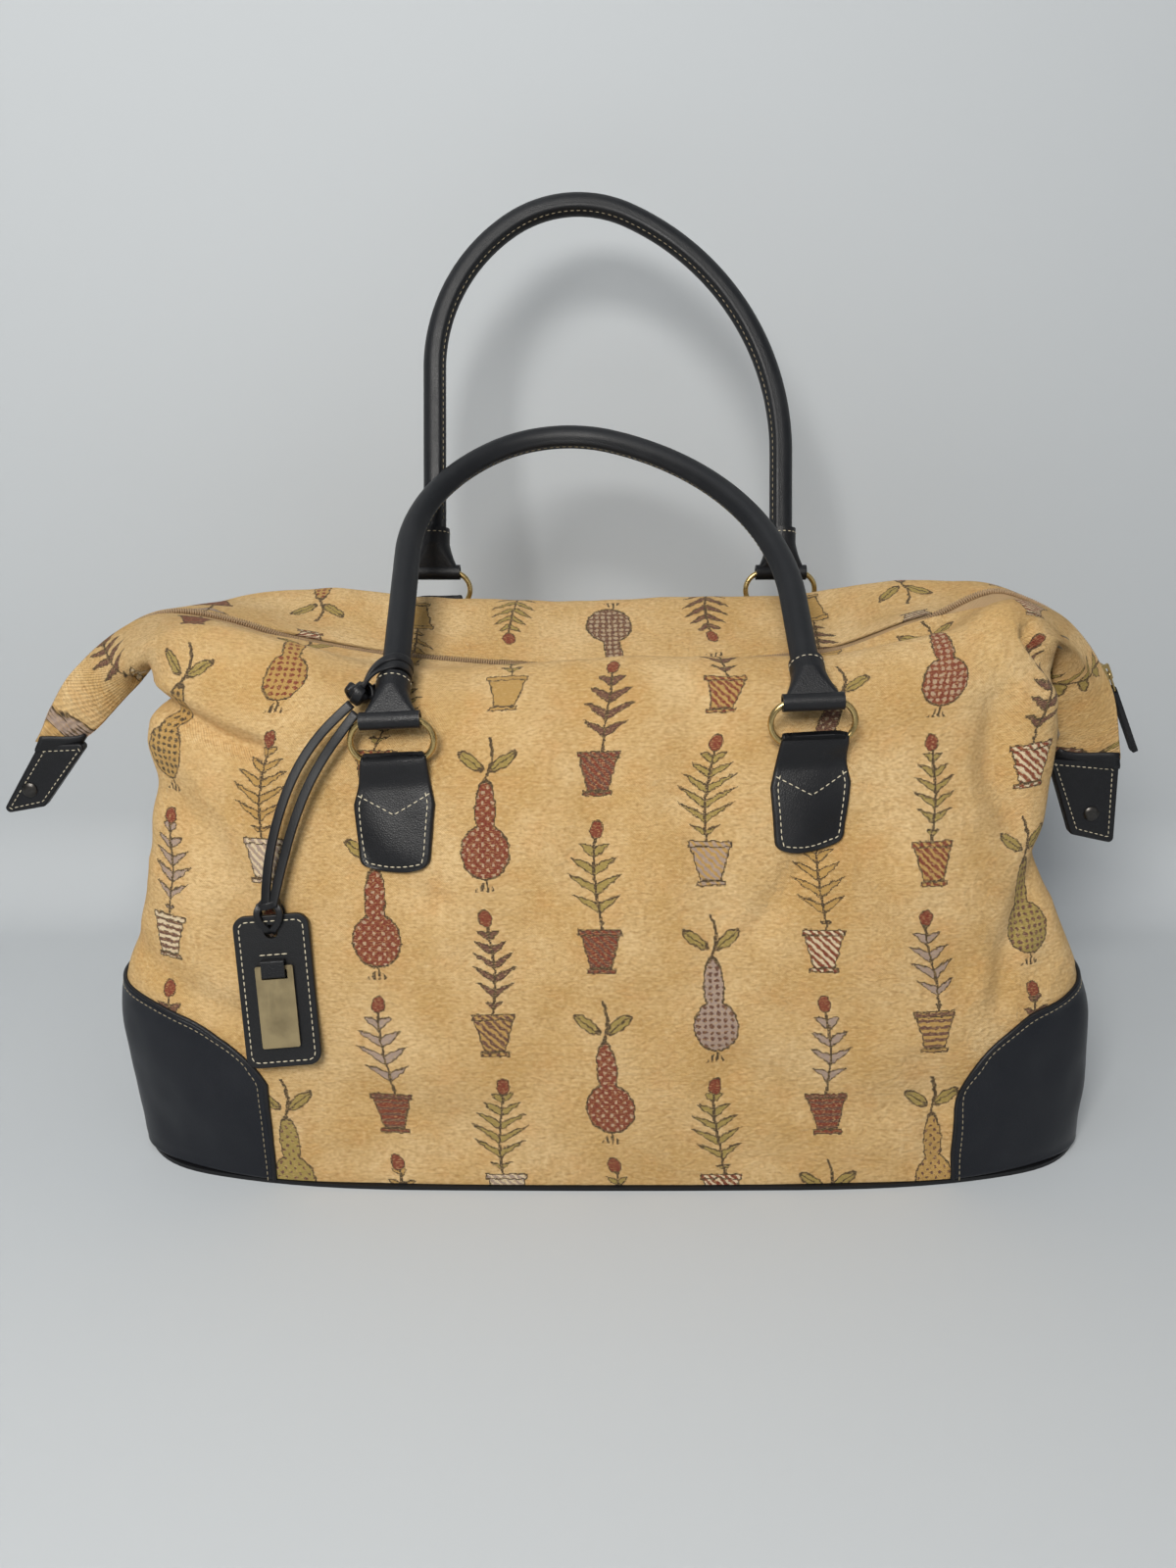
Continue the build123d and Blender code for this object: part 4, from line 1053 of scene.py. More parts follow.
class Weave:
    """Node groups that the canvas shares: its print, its twill and its mottling."""

    COLUMN, ROW = 54.0, 86.0

    def __init__(self) -> None:
        """Builds the three groups."""
        self.plant = self._plant()
        self.gourd = self._gourd()
        self.surface = self._surface()

    @staticmethod
    def _choice(paint: Painter, pick: Signal, colours: Sequence[Colour]) -> NodeSocket:
        """One of some colours, by a number from 0 to 1."""
        node = paint.node("ShaderNodeValToRGB")
        node.color_ramp.interpolation = "CONSTANT"
        while len(node.color_ramp.elements) < len(colours):
            node.color_ramp.elements.new(1.0)
        for k, colour in enumerate(colours):
            node.color_ramp.elements[k].position = k / len(colours)
            node.color_ramp.elements[k].color = (*colour, 1.0)
        paint.link(pick, node.inputs[0])
        return node.outputs[0]

    def _plant(self) -> NodeTree:
        """Sprig in a footed pot, centred on 0, in millimetres."""
        paint, given, result = shader_group(
            "Potted sprig", {"Place": "Vector", "Pick": "Vector"}, {"Color": "Color", "Mask": "Float"})
        x, y, _ = paint.parts(given.outputs["Place"])
        one, two, three = paint.parts(given.outputs["Pick"])
        # Pot with a rim and a foot
        half = (y + 34.0) * 0.26 + 5.2
        wall = (abs(x) - half).upper(abs(y + 25.0) - 8.5)
        rim = (abs(x) - (half * 0.2 + 8.6)).upper(abs(y + 15.6) - 1.7)
        foot = (abs(x) - 7.2).upper(abs(y + 34.6) - 1.3)
        pot = wall.lower(rim).lower(foot)
        stripe = ((y * 1.9).sine() * one.above(0.5) + ((x + y) * 1.55).sine() * one.below(0.5)).above(0.15)
        # Stem and paired leaves that grow shorter towards the top
        bend = ((y * 0.075) + two * 5.0).sine() * 2.2
        side = abs(x - bend)
        share = (y + 12.0) / 46.0
        reach = ((share * 3.1416).sine().upper(0.0).power(0.75)) * (two * 5.0 + 9.5) + 0.4
        pitch = three * 3.0 + 6.6
        wave = ((y - side * 0.62) / pitch).fract() - 0.5
        leaf = abs(wave) * pitch - ((side / reach).power(2.0) * -1.0 + 1.0) * (pitch * 0.30)
        leaf = leaf.upper(side - reach).upper(abs(y - 11.0) - 22.5)
        stem = (side - 0.65).upper(abs(y - 8.0) - 23.0)
        bud = (((x - bend) / 3.4).power(2.0) + ((y - 34.0) / 4.6).power(2.0) - 1.0) * 2.4
        clay = self._choice(paint, two, (YARN.burgundy, YARN.plum, YARN.ochre, YARN.burgundy, YARN.lilac))
        pot_colour = paint.mix(stripe, clay, self._choice(paint, three, (YARN.ochre, YARN.cream, YARN.plum)))
        leaf_colour = self._choice(paint, one, (YARN.olive, YARN.ochre, YARN.plum, YARN.olive, YARN.lilac))
        colour = paint.mix(leaf.below(-0.85), YARN.outline, leaf_colour)
        colour = paint.mix(stem.below(0.0), colour, YARN.outline)
        colour = paint.mix(bud.below(0.0), colour, paint.mix(bud.below(-0.7), YARN.outline, YARN.burgundy))
        colour = paint.mix(pot.below(0.0), colour, paint.mix(pot.below(-0.75), YARN.outline, pot_colour))
        set_inputs(result, Color=colour, Mask=pot.lower(leaf).lower(stem).lower(bud).below(0.0))
        return paint.tree

    def _gourd(self) -> NodeTree:
        """Long-necked gourd with two leaves and a curled stalk, centred on 0, in millimetres."""
        paint, given, result = shader_group(
            "Gourd", {"Place": "Vector", "Pick": "Vector"}, {"Color": "Color", "Mask": "Float"})
        x, y, _ = paint.parts(given.outputs["Place"])
        one, two, three = paint.parts(given.outputs["Pick"])
        lean = x - (y * 0.06).sine() * (two * 3.0 - 1.0)
        belly = ((lean / (one * 3.0 + 10.0)).power(2.0) + ((y + 20.0) / 13.5).power(2.0)).power(0.5) - 1.0
        neck = ((lean / 5.2).power(2.0) + (y / 16.0).power(2.0)).power(0.5) - 1.0
        body = (belly * 10.0).lower(neck * 5.2)
        lattice = (((x + y) * 0.95).sine() * ((x - y) * 0.95).sine()).above(0.22)
        dots = (((x * 1.35).sine() * (y * 1.25).sine()).above(0.55))
        pattern = lattice * three.above(0.5) + dots * three.below(0.5)
        side = abs(lean)
        across, up = (side - 8.0) * 0.80 + (y - 24.0) * 0.60, (y - 24.0) * 0.80 - (side - 8.0) * 0.60
        leaf = (((across / 8.0).power(2.0) + (up / 3.1).power(2.0)).power(0.5) - 1.0) * 3.1
        vein = abs(up) - 0.35
        stalk = (abs(lean - ((y - 16.0) * 0.16).sine() * 2.4) - 0.8).upper(abs(y - 25.0) - 11.0)
        tuft = (abs(x) - (y * -1.0 - 33.0) * 0.9).upper(abs(y + 36.0) - 3.0).upper((x * 2.4).sine() * -1.0)
        fill = self._choice(paint, one, (YARN.ochre, YARN.lilac, YARN.olive, YARN.burgundy, YARN.plum))
        mark = self._choice(paint, two, (YARN.plum, YARN.outline, YARN.burgundy, YARN.outline))
        fill_is_dark = one.above(0.6)
        colour = paint.mix(leaf.below(-0.7), YARN.outline, paint.mix(vein.below(0.0), YARN.olive, YARN.outline))
        colour = paint.mix(stalk.below(0.0), colour, YARN.outline)
        inner = paint.mix(pattern * (fill_is_dark * -0.5 + 1.0), fill, paint.mix(fill_is_dark, mark, YARN.cream))
        colour = paint.mix(body.below(0.0), colour, paint.mix(body.below(-0.75), YARN.outline, inner))
        set_inputs(result, Color=colour, Mask=body.lower(leaf).lower(stalk).lower(tuft).below(0.0))
        return paint.tree

    def _surface(self) -> NodeTree:
        """Colour and height of the printed twill over the flat cloth's place in metres."""
        paint, given, result = shader_group(
            "Woven canvas", {"Cloth": "Vector"}, {"Color": "Color", "Height": "Float", "Pucker": "Float"})
        u, v, _ = paint.parts(given.outputs["Cloth"])
        x, y = u * 1000.0, v * 1000.0
        flat = paint.vector(x, y)
        wander = paint.node("ShaderNodeTexNoise", noise_dimensions="2D")
        set_inputs(wander, Scale=0.30, Detail=3.0, Vector=flat)
        wx, wy, _ = paint.parts(wander.outputs["Color"])
        # Yarn steps of half a millimetre give the print its woven edge
        px = ((x / 0.55).floor() * 0.55) + (wx - 0.5) * 2.4
        py = ((y / 0.55).floor() * 0.55) + (wy - 0.5) * 2.4
        column = (px / self.COLUMN + 0.5).floor()
        odd = (column * 0.5).fract().above(0.25)
        sx = px - column * self.COLUMN
        drop = py + odd * (self.ROW * 0.5) - 20.0
        row = (drop / self.ROW).floor()
        sy = drop - row * self.ROW - self.ROW * 0.5
        pick = paint.node("ShaderNodeTexWhiteNoise", noise_dimensions="2D")
        set_inputs(pick, Vector=paint.vector(column + 0.5, row + 0.5))
        place = paint.vector(sx, sy)
        plant = paint.group(self.plant, Place=place, Pick=pick.outputs["Color"])
        gourd = paint.group(self.gourd, Place=place, Pick=pick.outputs["Color"])
        kind = ((column + row * 2.0 + 0.5) / 3.0).fract().below(0.36)
        ink = paint.mix(kind, plant.outputs["Color"], gourd.outputs["Color"])
        plant_mask, gourd_mask = (Signal(paint.tree, node.outputs["Mask"]) for node in (plant, gourd))
        mask = plant_mask * (kind * -1.0 + 1.0) + gourd_mask * kind
        # Ground: soft cloudy patches, slubs and twill, with painted shade in the twill's grooves
        cloud = paint.noise(flat, 0.022, 3.0, 0.55)
        warm = paint.noise(flat, 0.055, 4.0, 0.6)
        slub = paint.noise(paint.vector(x * 0.5, y), 0.75, 4.0, 0.7)
        pile = paint.noise(paint.vector(x * 0.8, y), 0.30, 5.0, 0.68)
        ground = paint.mix(cloud.ramp(0.38, 0.64), YARN.ground, YARN.ground_light)
        ground = paint.mix(warm.ramp(0.50, 0.72, 0.0, 0.55), ground, YARN.ground_warm)
        ground = paint.mix(slub.ramp(0.46, 0.66, 0.0, 0.62), ground, (0.44, 0.235, 0.075))
        ground = paint.mix(slub.ramp(0.46, 0.26, 0.0, 0.60), ground, (0.84, 0.66, 0.38))
        ground = paint.mix(pile.ramp(0.54, 0.70, 0.0, 0.45), ground, (0.47, 0.26, 0.085))
        thread = paint.noise(paint.vector(x * 0.35, y), 1.7, 2.0, 0.7)
        ink = paint.mix(thread.ramp(0.5, 0.72, 0.0, 0.75), ink, ground)
        colour = paint.mix(mask * thread.ramp(0.20, 0.34, 0.55, 1.0), ground, ink)
        twill = ((x + y) * (2 * math.pi / 1.15)).sine()
        rib = ((x - y * 0.35) * (2 * math.pi / 0.8)).sine()
        weave = twill * 0.6 + rib * 0.25 + slub * 1.3 + mask * 0.5
        # Painted shade: the twill's low grooves are darkened towards a deep brown.
        groove_shade = twill.ramp(-1.0, -0.2, 0.20, 0.0)
        colour = paint.mix(groove_shade, colour, (0.28, 0.16, 0.07))
        set_inputs(result, Color=colour, Height=weave, Pucker=pile)
        return paint.tree


# Finishes


def new_material(name: str) -> tuple[Material, Painter, Node]:
    """Material with a painter for its tree and its Principled BSDF."""
    material = bpy.data.materials.new(name)
    material.use_nodes = True
    return material, Painter(material.node_tree), material.node_tree.nodes["Principled BSDF"]


def object_place(paint: Painter) -> NodeSocket:
    """Object coordinates, in metres."""
    return paint.node("ShaderNodeTexCoord").outputs["Object"]


def faded(colour: Colour, share: float) -> Colour:
    """Colour at a share of its strength."""
    return tuple(c * share for c in colour)


@dataclass(frozen=True)
class CanvasFinish:
    """Printed twill on the flat cloth's own UV map."""

    rough: float = 0.88
    specular: float = 0.22
    sheen: float = 0.10
    sheen_rough: float = 0.45
    sheen_tint: Colour = (1.0, 0.86, 0.62)
    pucker: float = 0.0022
    relief: float = 0.00022

    def material(self, surface: NodeTree) -> Material:
        """The finish as a material, with the node group of the woven surface."""
        material, paint, bsdf = new_material("Woven canvas")
        place = paint.node("ShaderNodeUVMap", uv_map="Cloth")
        woven = paint.group(surface, Cloth=place.outputs[0])
        pucker = paint.bump(woven.outputs["Pucker"], self.pucker)
        set_inputs(bsdf, Base_Color=woven.outputs["Color"], Roughness=self.rough, Specular_IOR_Level=self.specular,
                   Sheen_Weight=self.sheen, Sheen_Roughness=self.sheen_rough, Sheen_Tint=(*self.sheen_tint, 1.0),
                   Normal=paint.bump(woven.outputs["Height"], self.relief, 0.8, pucker))
        return material


@dataclass(frozen=True)
class ClothFinish:
    """Plain dyed cloth with a fine weave."""

    name: str
    colour: Colour
    rough: float
    weave_scale: float = 5200.0

    def material(self) -> Material:
        """The finish as a material."""
        material, paint, bsdf = new_material(self.name)
        place = object_place(paint)
        x, y, z = paint.parts(place)
        weave = ((x + y) * self.weave_scale).sine() * ((z - y) * self.weave_scale).sine()
        blotch = paint.noise(place, 60.0, 3.0).ramp(0.3, 0.7)
        set_inputs(bsdf, Base_Color=paint.mix(blotch, self.colour, faded(self.colour, 0.7)),
                   Roughness=self.rough, Normal=paint.bump(weave, 0.0002, 0.6))
        return material


@dataclass(frozen=True)
class PlainFinish:
    """Thread, nylon or board: one colour with slight blotches."""

    name: str
    colour: Colour
    rough: float

    def material(self) -> Material:
        """The finish as a material."""
        material, paint, bsdf = new_material(self.name)
        place = object_place(paint)
        blotch = paint.noise(place, 400.0, 3.0)
        set_inputs(bsdf, Base_Color=paint.mix(blotch.ramp(0.3, 0.7), faded(self.colour, 0.8), self.colour),
                   Roughness=blotch.ramp(0.2, 0.8, self.rough - 0.06, self.rough + 0.08),
                   Normal=paint.bump(paint.noise(place, 1800.0, 2.0), 0.0001, 0.3))
        return material


def leather_grain() -> NodeTree:
    """Leather grain: pebbles with fine creases, and larger soft scuffs."""
    paint, given, result = shader_group(
        "Leather grain", {"Place": "Vector"}, {"Height": "Float", "Scuff": "Float"})
    place = given.outputs["Place"]
    pebble = paint.cells(place, 900.0).ramp(0.0, 0.35)
    crease = paint.noise(place, 260.0, 5.0, 0.65)
    set_inputs(result, Height=pebble * 0.6 + crease * 0.9, Scuff=paint.noise(place, 26.0, 5.0, 0.6))
    return paint.tree


@dataclass(frozen=True)
class LeatherFinish:
    """Black leather with its grain and a little wear."""

    name: str
    colour: Colour
    rough: float
    grain: float
    wear: float
    specular: float = 0.34

    def material(self, grain_group: NodeTree) -> Material:
        """The finish as a material, with the node group of the grain."""
        material, paint, bsdf = new_material(self.name)
        made = paint.group(grain_group, Place=object_place(paint))
        scuff = Signal(paint.tree, made.outputs["Scuff"])
        worn = tuple(c + self.wear * 0.10 for c in self.colour)
        set_inputs(bsdf, Base_Color=paint.mix(scuff.ramp(0.48, 0.80, 0.0, 0.6), self.colour, worn),
                   Roughness=scuff.ramp(0.3, 0.75, self.rough - 0.06, self.rough + 0.10),
                   Specular_IOR_Level=self.specular,
                   Normal=paint.bump(made.outputs["Height"], 0.00022, 0.55 * self.grain))
        return material


@dataclass(frozen=True)
class BrassFinish:
    """Polished or brushed brass with a little tarnish."""

    name: str
    colour: Colour
    rough: float
    brushed: bool = False

    def material(self) -> Material:
        """The finish as a material."""
        material, paint, bsdf = new_material(self.name)
        place = object_place(paint)
        streak = self._brushing(paint, place) if self.brushed else paint.noise(place, 300.0, 4.0)
        tarnish = paint.noise(place, 90.0, 4.0).ramp(0.4, 0.75)
        set_inputs(bsdf, Base_Color=paint.mix(tarnish, self.colour, faded(self.colour, 0.66)), Metallic=1.0,
                   Roughness=streak.ramp(0.3, 0.7, self.rough - 0.05, self.rough + 0.12),
                   Normal=paint.bump(streak, 0.00005, 0.5 if self.brushed else 0.2))
        return material

    @staticmethod
    def _brushing(paint: Painter, place: NodeSocket) -> Signal:
        """Fine streaks that run up the plate."""
        x, y, z = paint.parts(place)
        return paint.noise(paint.vector(x * 2600.0, y * 60.0, z * 60.0), 1.0, 2.0)


class Materials:
    """All materials of the bag."""

    def __init__(self) -> None:
        """Builds the shared node groups and the material of each finish."""
        weave, grain = Weave(), leather_grain()
        self.canvas = CanvasFinish().material(weave.surface)
        self.lining = ClothFinish("Lining", (0.36, 0.29, 0.20), 0.9).material()
        self.tape = ClothFinish("Zip tape", (0.43, 0.285, 0.145), 0.7).material()
        self.coil = PlainFinish("Zip coil", (0.40, 0.265, 0.145), 0.4).material()
        self.board = PlainFinish("Board", (0.05, 0.05, 0.055), 0.7).material()
        self.trim = LeatherFinish("Trim leather", (0.0063, 0.0065, 0.0080), 0.44, 1.0, 0.10).material(grain)
        self.patch = LeatherFinish("Patch leather", (0.0053, 0.0063, 0.0100), 0.38, 0.45, 0.06).material(grain)
        self.handle = LeatherFinish("Handle leather", (0.0070, 0.0077, 0.0095), 0.46, 0.7, 0.12).material(grain)
        self.tag = LeatherFinish("Tag leather", (0.0060, 0.0063, 0.0075), 0.50, 0.7, 0.10).material(grain)
        self.base = LeatherFinish("Base leather", (0.0045, 0.0047, 0.0057), 0.52, 0.8, 0.05).material(grain)
        self.lace = LeatherFinish("Lace leather", (0.0063, 0.0065, 0.0077), 0.42, 0.5, 0.12).material(grain)
        self.thread = PlainFinish("Thread", (0.62, 0.55, 0.40), 0.6).material()
        # Darker copy of the cream thread: painted shade, for the stitches low on the corner patches and along the
        # handles' seams.
        self.shaded_thread = PlainFinish("Shaded thread", (0.30, 0.25, 0.16), 0.65).material()
        self.brass = BrassFinish("Brass", (0.62, 0.45, 0.19), 0.22).material()
        self.plate = BrassFinish("Brushed plate", (0.46, 0.36, 0.20), 0.36, brushed=True).material()
        self.stud = BrassFinish("Dark stud", (0.075, 0.070, 0.065), 0.30).material()

    def by_slot(self) -> dict[Slot, Material]:
        """Material of each record slot."""
        return {slot: getattr(self, slot.name.lower()) for slot in Slot}


def wear(obj: Object, material: Material) -> None:
    """Gives an object one material."""
    obj.data.materials.clear()
    obj.data.materials.append(material)


# Placing of rings, tabs and handles, as the solids have it


@dataclass(frozen=True)
class Plane:
    """Plane with its own axes, in millimetres."""

    origin: Array
    x: Array
    y: Array

    @property
    def z(self) -> Array:
        """Direction out of the plane."""
        return np.cross(self.x, self.y)

    def place(self, points: Array) -> Array:
        """World places of points given in this plane's axes."""
        points = np.atleast_2d(points)
        return self.origin + points[:, :1] * self.x + points[:, 1:2] * self.y + points[:, 2:3] * self.z


def lean_plane(origin: Array, tilt_deg: float, lean_deg: float) -> Plane:
    """Plane with X along a ring's bar and Y up the ring or handle, leaning to the back.

    Args:
        origin: Its origin.
        tilt_deg: Tilt of X, in degrees.
        lean_deg: Lean of Y, in degrees.

    Returns:
        The plane.
    """
    tilt, lean = math.radians(tilt_deg), math.radians(lean_deg)
    across = np.array([math.cos(tilt), 0.0, math.sin(tilt)])
    up = np.array([-math.sin(tilt) * math.cos(lean), math.sin(lean), math.cos(tilt) * math.cos(lean)])
    return Plane(np.asarray(origin, float), across, up)


@dataclass(frozen=True)
class HandleForm:
    """Sizes of the handles and of their ends."""

    spacing: float = 200.0
    ring_height: float = 20.0
    rise: float = 212.0
    sway: float = 17.0
    top_radius: float = 70.0
    left_radius: float = 100.0
    right_radius: float = 150.0
    tube: float = 13.0
    chape: float = 25.0
    sleeve: float = 17.0


HANDLE = HandleForm()


class HandleSide:
    """Placing of the rings, tabs and handle on the front or the back of the bag."""

    def __init__(self, anchor: Sequence[float], tilt: float, ring_lean: float, handle_lean: float) -> None:
        """Places one side's rings and handle.

        Args:
            anchor: Middle between the two ring bars.
            tilt: Tilt of the line between the rings, in degrees.
            ring_lean: Lean of the rings.
            handle_lean: Lean of the handle.
        """
        self.anchor = lean_plane(np.array(anchor), tilt, ring_lean)
        bar = self.anchor.place(np.array([[0.0, HANDLE.ring_height, 0.0]]))[0]
        self.handle = lean_plane(bar, tilt, handle_lean)

    @staticmethod
    def leg(side: int, start: float, step: float = 2.0) -> Array:
        """Points of one half of the handle's line, from its leg to the middle of the arch.

        Args:
            side: -1 for the left leg, 1 for the right one.
            start: Height of the first point.
            step: Distance from point to point.

        Returns:
            The points in the handle's plane.
        """
        foot, apex = side * HANDLE.spacing / 2, -HANDLE.sway
        radius = HANDLE.left_radius if side < 0 else HANDLE.right_radius
        run = abs(foot - apex)
        turn = math.acos((radius - run) / (radius - HANDLE.top_radius))
        climb = radius * math.sin(turn) + HANDLE.top_radius * (1 - math.sin(turn))
        top = HANDLE.rise - climb
        heights = np.arange(start, top, step)
        straight = np.stack([np.full(len(heights), foot), heights], axis=1)
        first = np.linspace(0, turn, int(radius * turn / step))
        centre = (foot - side * radius, top)
        lower = np.stack([centre[0] + side * radius * np.cos(first), centre[1] + radius * np.sin(first)], axis=1)
        second = np.linspace(turn, math.pi / 2, int(HANDLE.top_radius * (math.pi / 2 - turn) / step))
        inner = (centre[0] + side * (radius - HANDLE.top_radius) * math.cos(turn),
                 centre[1] + (radius - HANDLE.top_radius) * math.sin(turn))
        upper = np.stack([inner[0] + side * HANDLE.top_radius * np.cos(second),
                          inner[1] + HANDLE.top_radius * np.sin(second)], axis=1)
        return np.concatenate([straight, lower[1:], upper[1:]])

    def centre_line(self, start: float) -> Array:
        """Line through the tube in the handle's plane, from the left leg over to the right."""
        return np.concatenate([self.leg(-1, start), self.leg(1, start)[-2::-1]])

    def tube(self, name: str, angle_deg: float, start: float) -> Object:
        """Leather tube with a low sewn ridge.

        Args:
            name: Object name.
            angle_deg: Angle of the ridge from the inside of the arch.
            start: Height at which the tube starts.

        Returns:
            The tube.
        """
        flat = self.centre_line(start)
        path = self.handle.place(np.concatenate([flat, np.zeros((len(flat), 1))], axis=1))
        angles = np.radians(np.linspace(0, 360, 40, endpoint=False))
        away = (angles - math.radians(angle_deg) + math.pi) % (2 * math.pi) - math.pi
        ridge, groove = np.exp(-((away / 0.20) ** 2)), np.exp(-(((away + 0.55) / 0.16) ** 2))
        reach = HANDLE.tube / 2 + 0.9 * ridge - 0.35 * groove
        profile = np.stack([reach * np.cos(angles), reach * np.sin(angles)], axis=1)
        return sweep(name, path, np.tile(self.handle.z, (len(path), 1)), profile)

    def seam(self, angle_deg: float, start: float) -> Array:
        """Line on the tube's surface.

        Args:
            angle_deg: Angle from the inside of the arch towards its front.
            start: Height of its ends.

        Returns:
            The line's points.
        """
        flat = self.centre_line(start)
        along = unit(np.gradient(flat, axis=0))
        inward = np.stack([along[:, 1], -along[:, 0]], axis=1)
        a = math.radians(angle_deg)
        reach = HANDLE.tube / 2 + 0.05
        points = np.concatenate([flat + inward * reach * math.cos(a),
                                 np.full((len(flat), 1), reach * math.sin(a))], axis=1)
        return self.handle.place(points)


FRONT_SIDE = HandleSide((-6.0, -73.6, 217.0), 2.6, 4.0, 58.0)
BACK_SIDE = HandleSide((-1.5, 74.4, 255.5), 0.0, 6.0, 20.0)


def tag_plane() -> Plane:
    """Plane of the tag: origin at its hole, Y up the tag, Z out of its front."""
    lean, turn, yaw = (math.radians(a) for a in (12.0, 3.5, -4.0))
    up = np.array([-math.sin(turn), math.sin(lean) * math.cos(turn), math.cos(lean) * math.cos(turn)])
    across = np.array([math.cos(turn) * math.cos(yaw), -math.sin(yaw), math.sin(turn) * math.cos(yaw)])
    up = unit(up)
    across -= up * np.dot(across, up)
    return Plane(np.array([-164.8, -100.3, 135.5]), unit(across), up)


TAG_PLANE = tag_plane()


def nurbs_points(points: Sequence[Sequence[float]]) -> Array:
    """Points of the smooth NURBS line with these control points, in millimetres."""
    data = bpy.data.curves.new("route", "CURVE")
    data.dimensions = "3D"
    data.resolution_u = 10
    spline = data.splines.new("NURBS")
    spline.points.add(len(points) - 1)
    for target, point in zip(spline.points, points):
        target.co = (*(c * MM for c in point), 1.0)
    spline.use_endpoint_u = True
    spline.order_u = 3
    obj = bpy.data.objects.new("route", data)
    bpy.context.scene.collection.objects.link(obj)
    mesh = bpy.data.meshes.new_from_object(obj.evaluated_get(bpy.context.evaluated_depsgraph_get()))
    line = np.array([v.co[:] for v in mesh.vertices]) / MM
    bpy.data.objects.remove(obj)
    bpy.data.curves.remove(data)
    bpy.data.meshes.remove(mesh)
    return line


def join(name: str, objects: Sequence[Object]) -> Object:
    """One object from several meshes."""
    vertices, faces, start = [], [], 0
    for obj in objects:
        mesh = obj.data
        vertices += [tuple(v.co / MM) for v in mesh.vertices]
        faces += [tuple(start + k for k in p.vertices) for p in mesh.polygons]
        start += len(mesh.vertices)
        bpy.data.objects.remove(obj)
        bpy.data.meshes.remove(mesh)
    return new_object(name, np.array(vertices), faces)


# Sub-assemblies


@dataclass(frozen=True)
class Workshop:
    """What every sub-assembly is made with: materials, stitches and the two sheets of canvas."""

    materials: Materials
    beads: BeadRow
    front: Cloth
    back: Cloth

    @property
    def faces(self) -> tuple[tuple[str, Cloth, HandleSide], ...]:
        """Name, sheet and handle placing of the bag's front and back."""
        return ("front", self.front, FRONT_SIDE), ("back", self.back, BACK_SIDE)

    def own(self, obj: Object, body: Body, slot: Slot, *replaced: str,
            material: Material | None = None) -> None:
        """Dresses a piece and ties it to the model.

        Args:
            obj: The piece.
            body: Body that it rides on.
            slot: Record slot of its finish.
            *replaced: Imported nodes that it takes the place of.
            material: Its material, where it isn't its slot's own.
        """
        wear(obj, material or self.materials.by_slot()[slot])
        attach(obj, body.value)
        if replaced:
            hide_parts(*replaced)
        log.info("%s rides on %s", obj.name, body.value)


def dress_solids(frame: dict, materials: Materials) -> None:
    """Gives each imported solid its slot's material.

    Args:
        frame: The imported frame.
        materials: Materials of the bag.
    """
    finish = materials.by_slot()
    for part in frame["record"]["subparts"]:
        node = frame["nodes"].get(part["node"])
        if node is not None:
            stud = part["node"].endswith("stud")
            wear(node, materials.stud if stud else finish[Slot(part["material_slot"])])
            log.info("%s keeps its solid", part["node"])


@dataclass(frozen=True)
class Panels:
    """The two printed canvas panels and their lining."""

    shop: Workshop
    lining_lift: float = -4.6

    def build(self) -> None:
        """Makes both panels, then both linings."""
        for word, cloth, _ in self.shop.faces:
            obj = canvas_panel(f"canvas_{word}", cloth)
            self.shop.own(obj, Body.BAG, Slot.CANVAS, f"{word}_panel")
            cloth.area(obj)
        for word, cloth, _ in self.shop.faces:
            obj = inner_shell(f"lining_cloth_{word}", cloth, self.lining_lift)
            self.shop.own(obj, Body.BAG, Slot.LINING, f"lining_{word}")


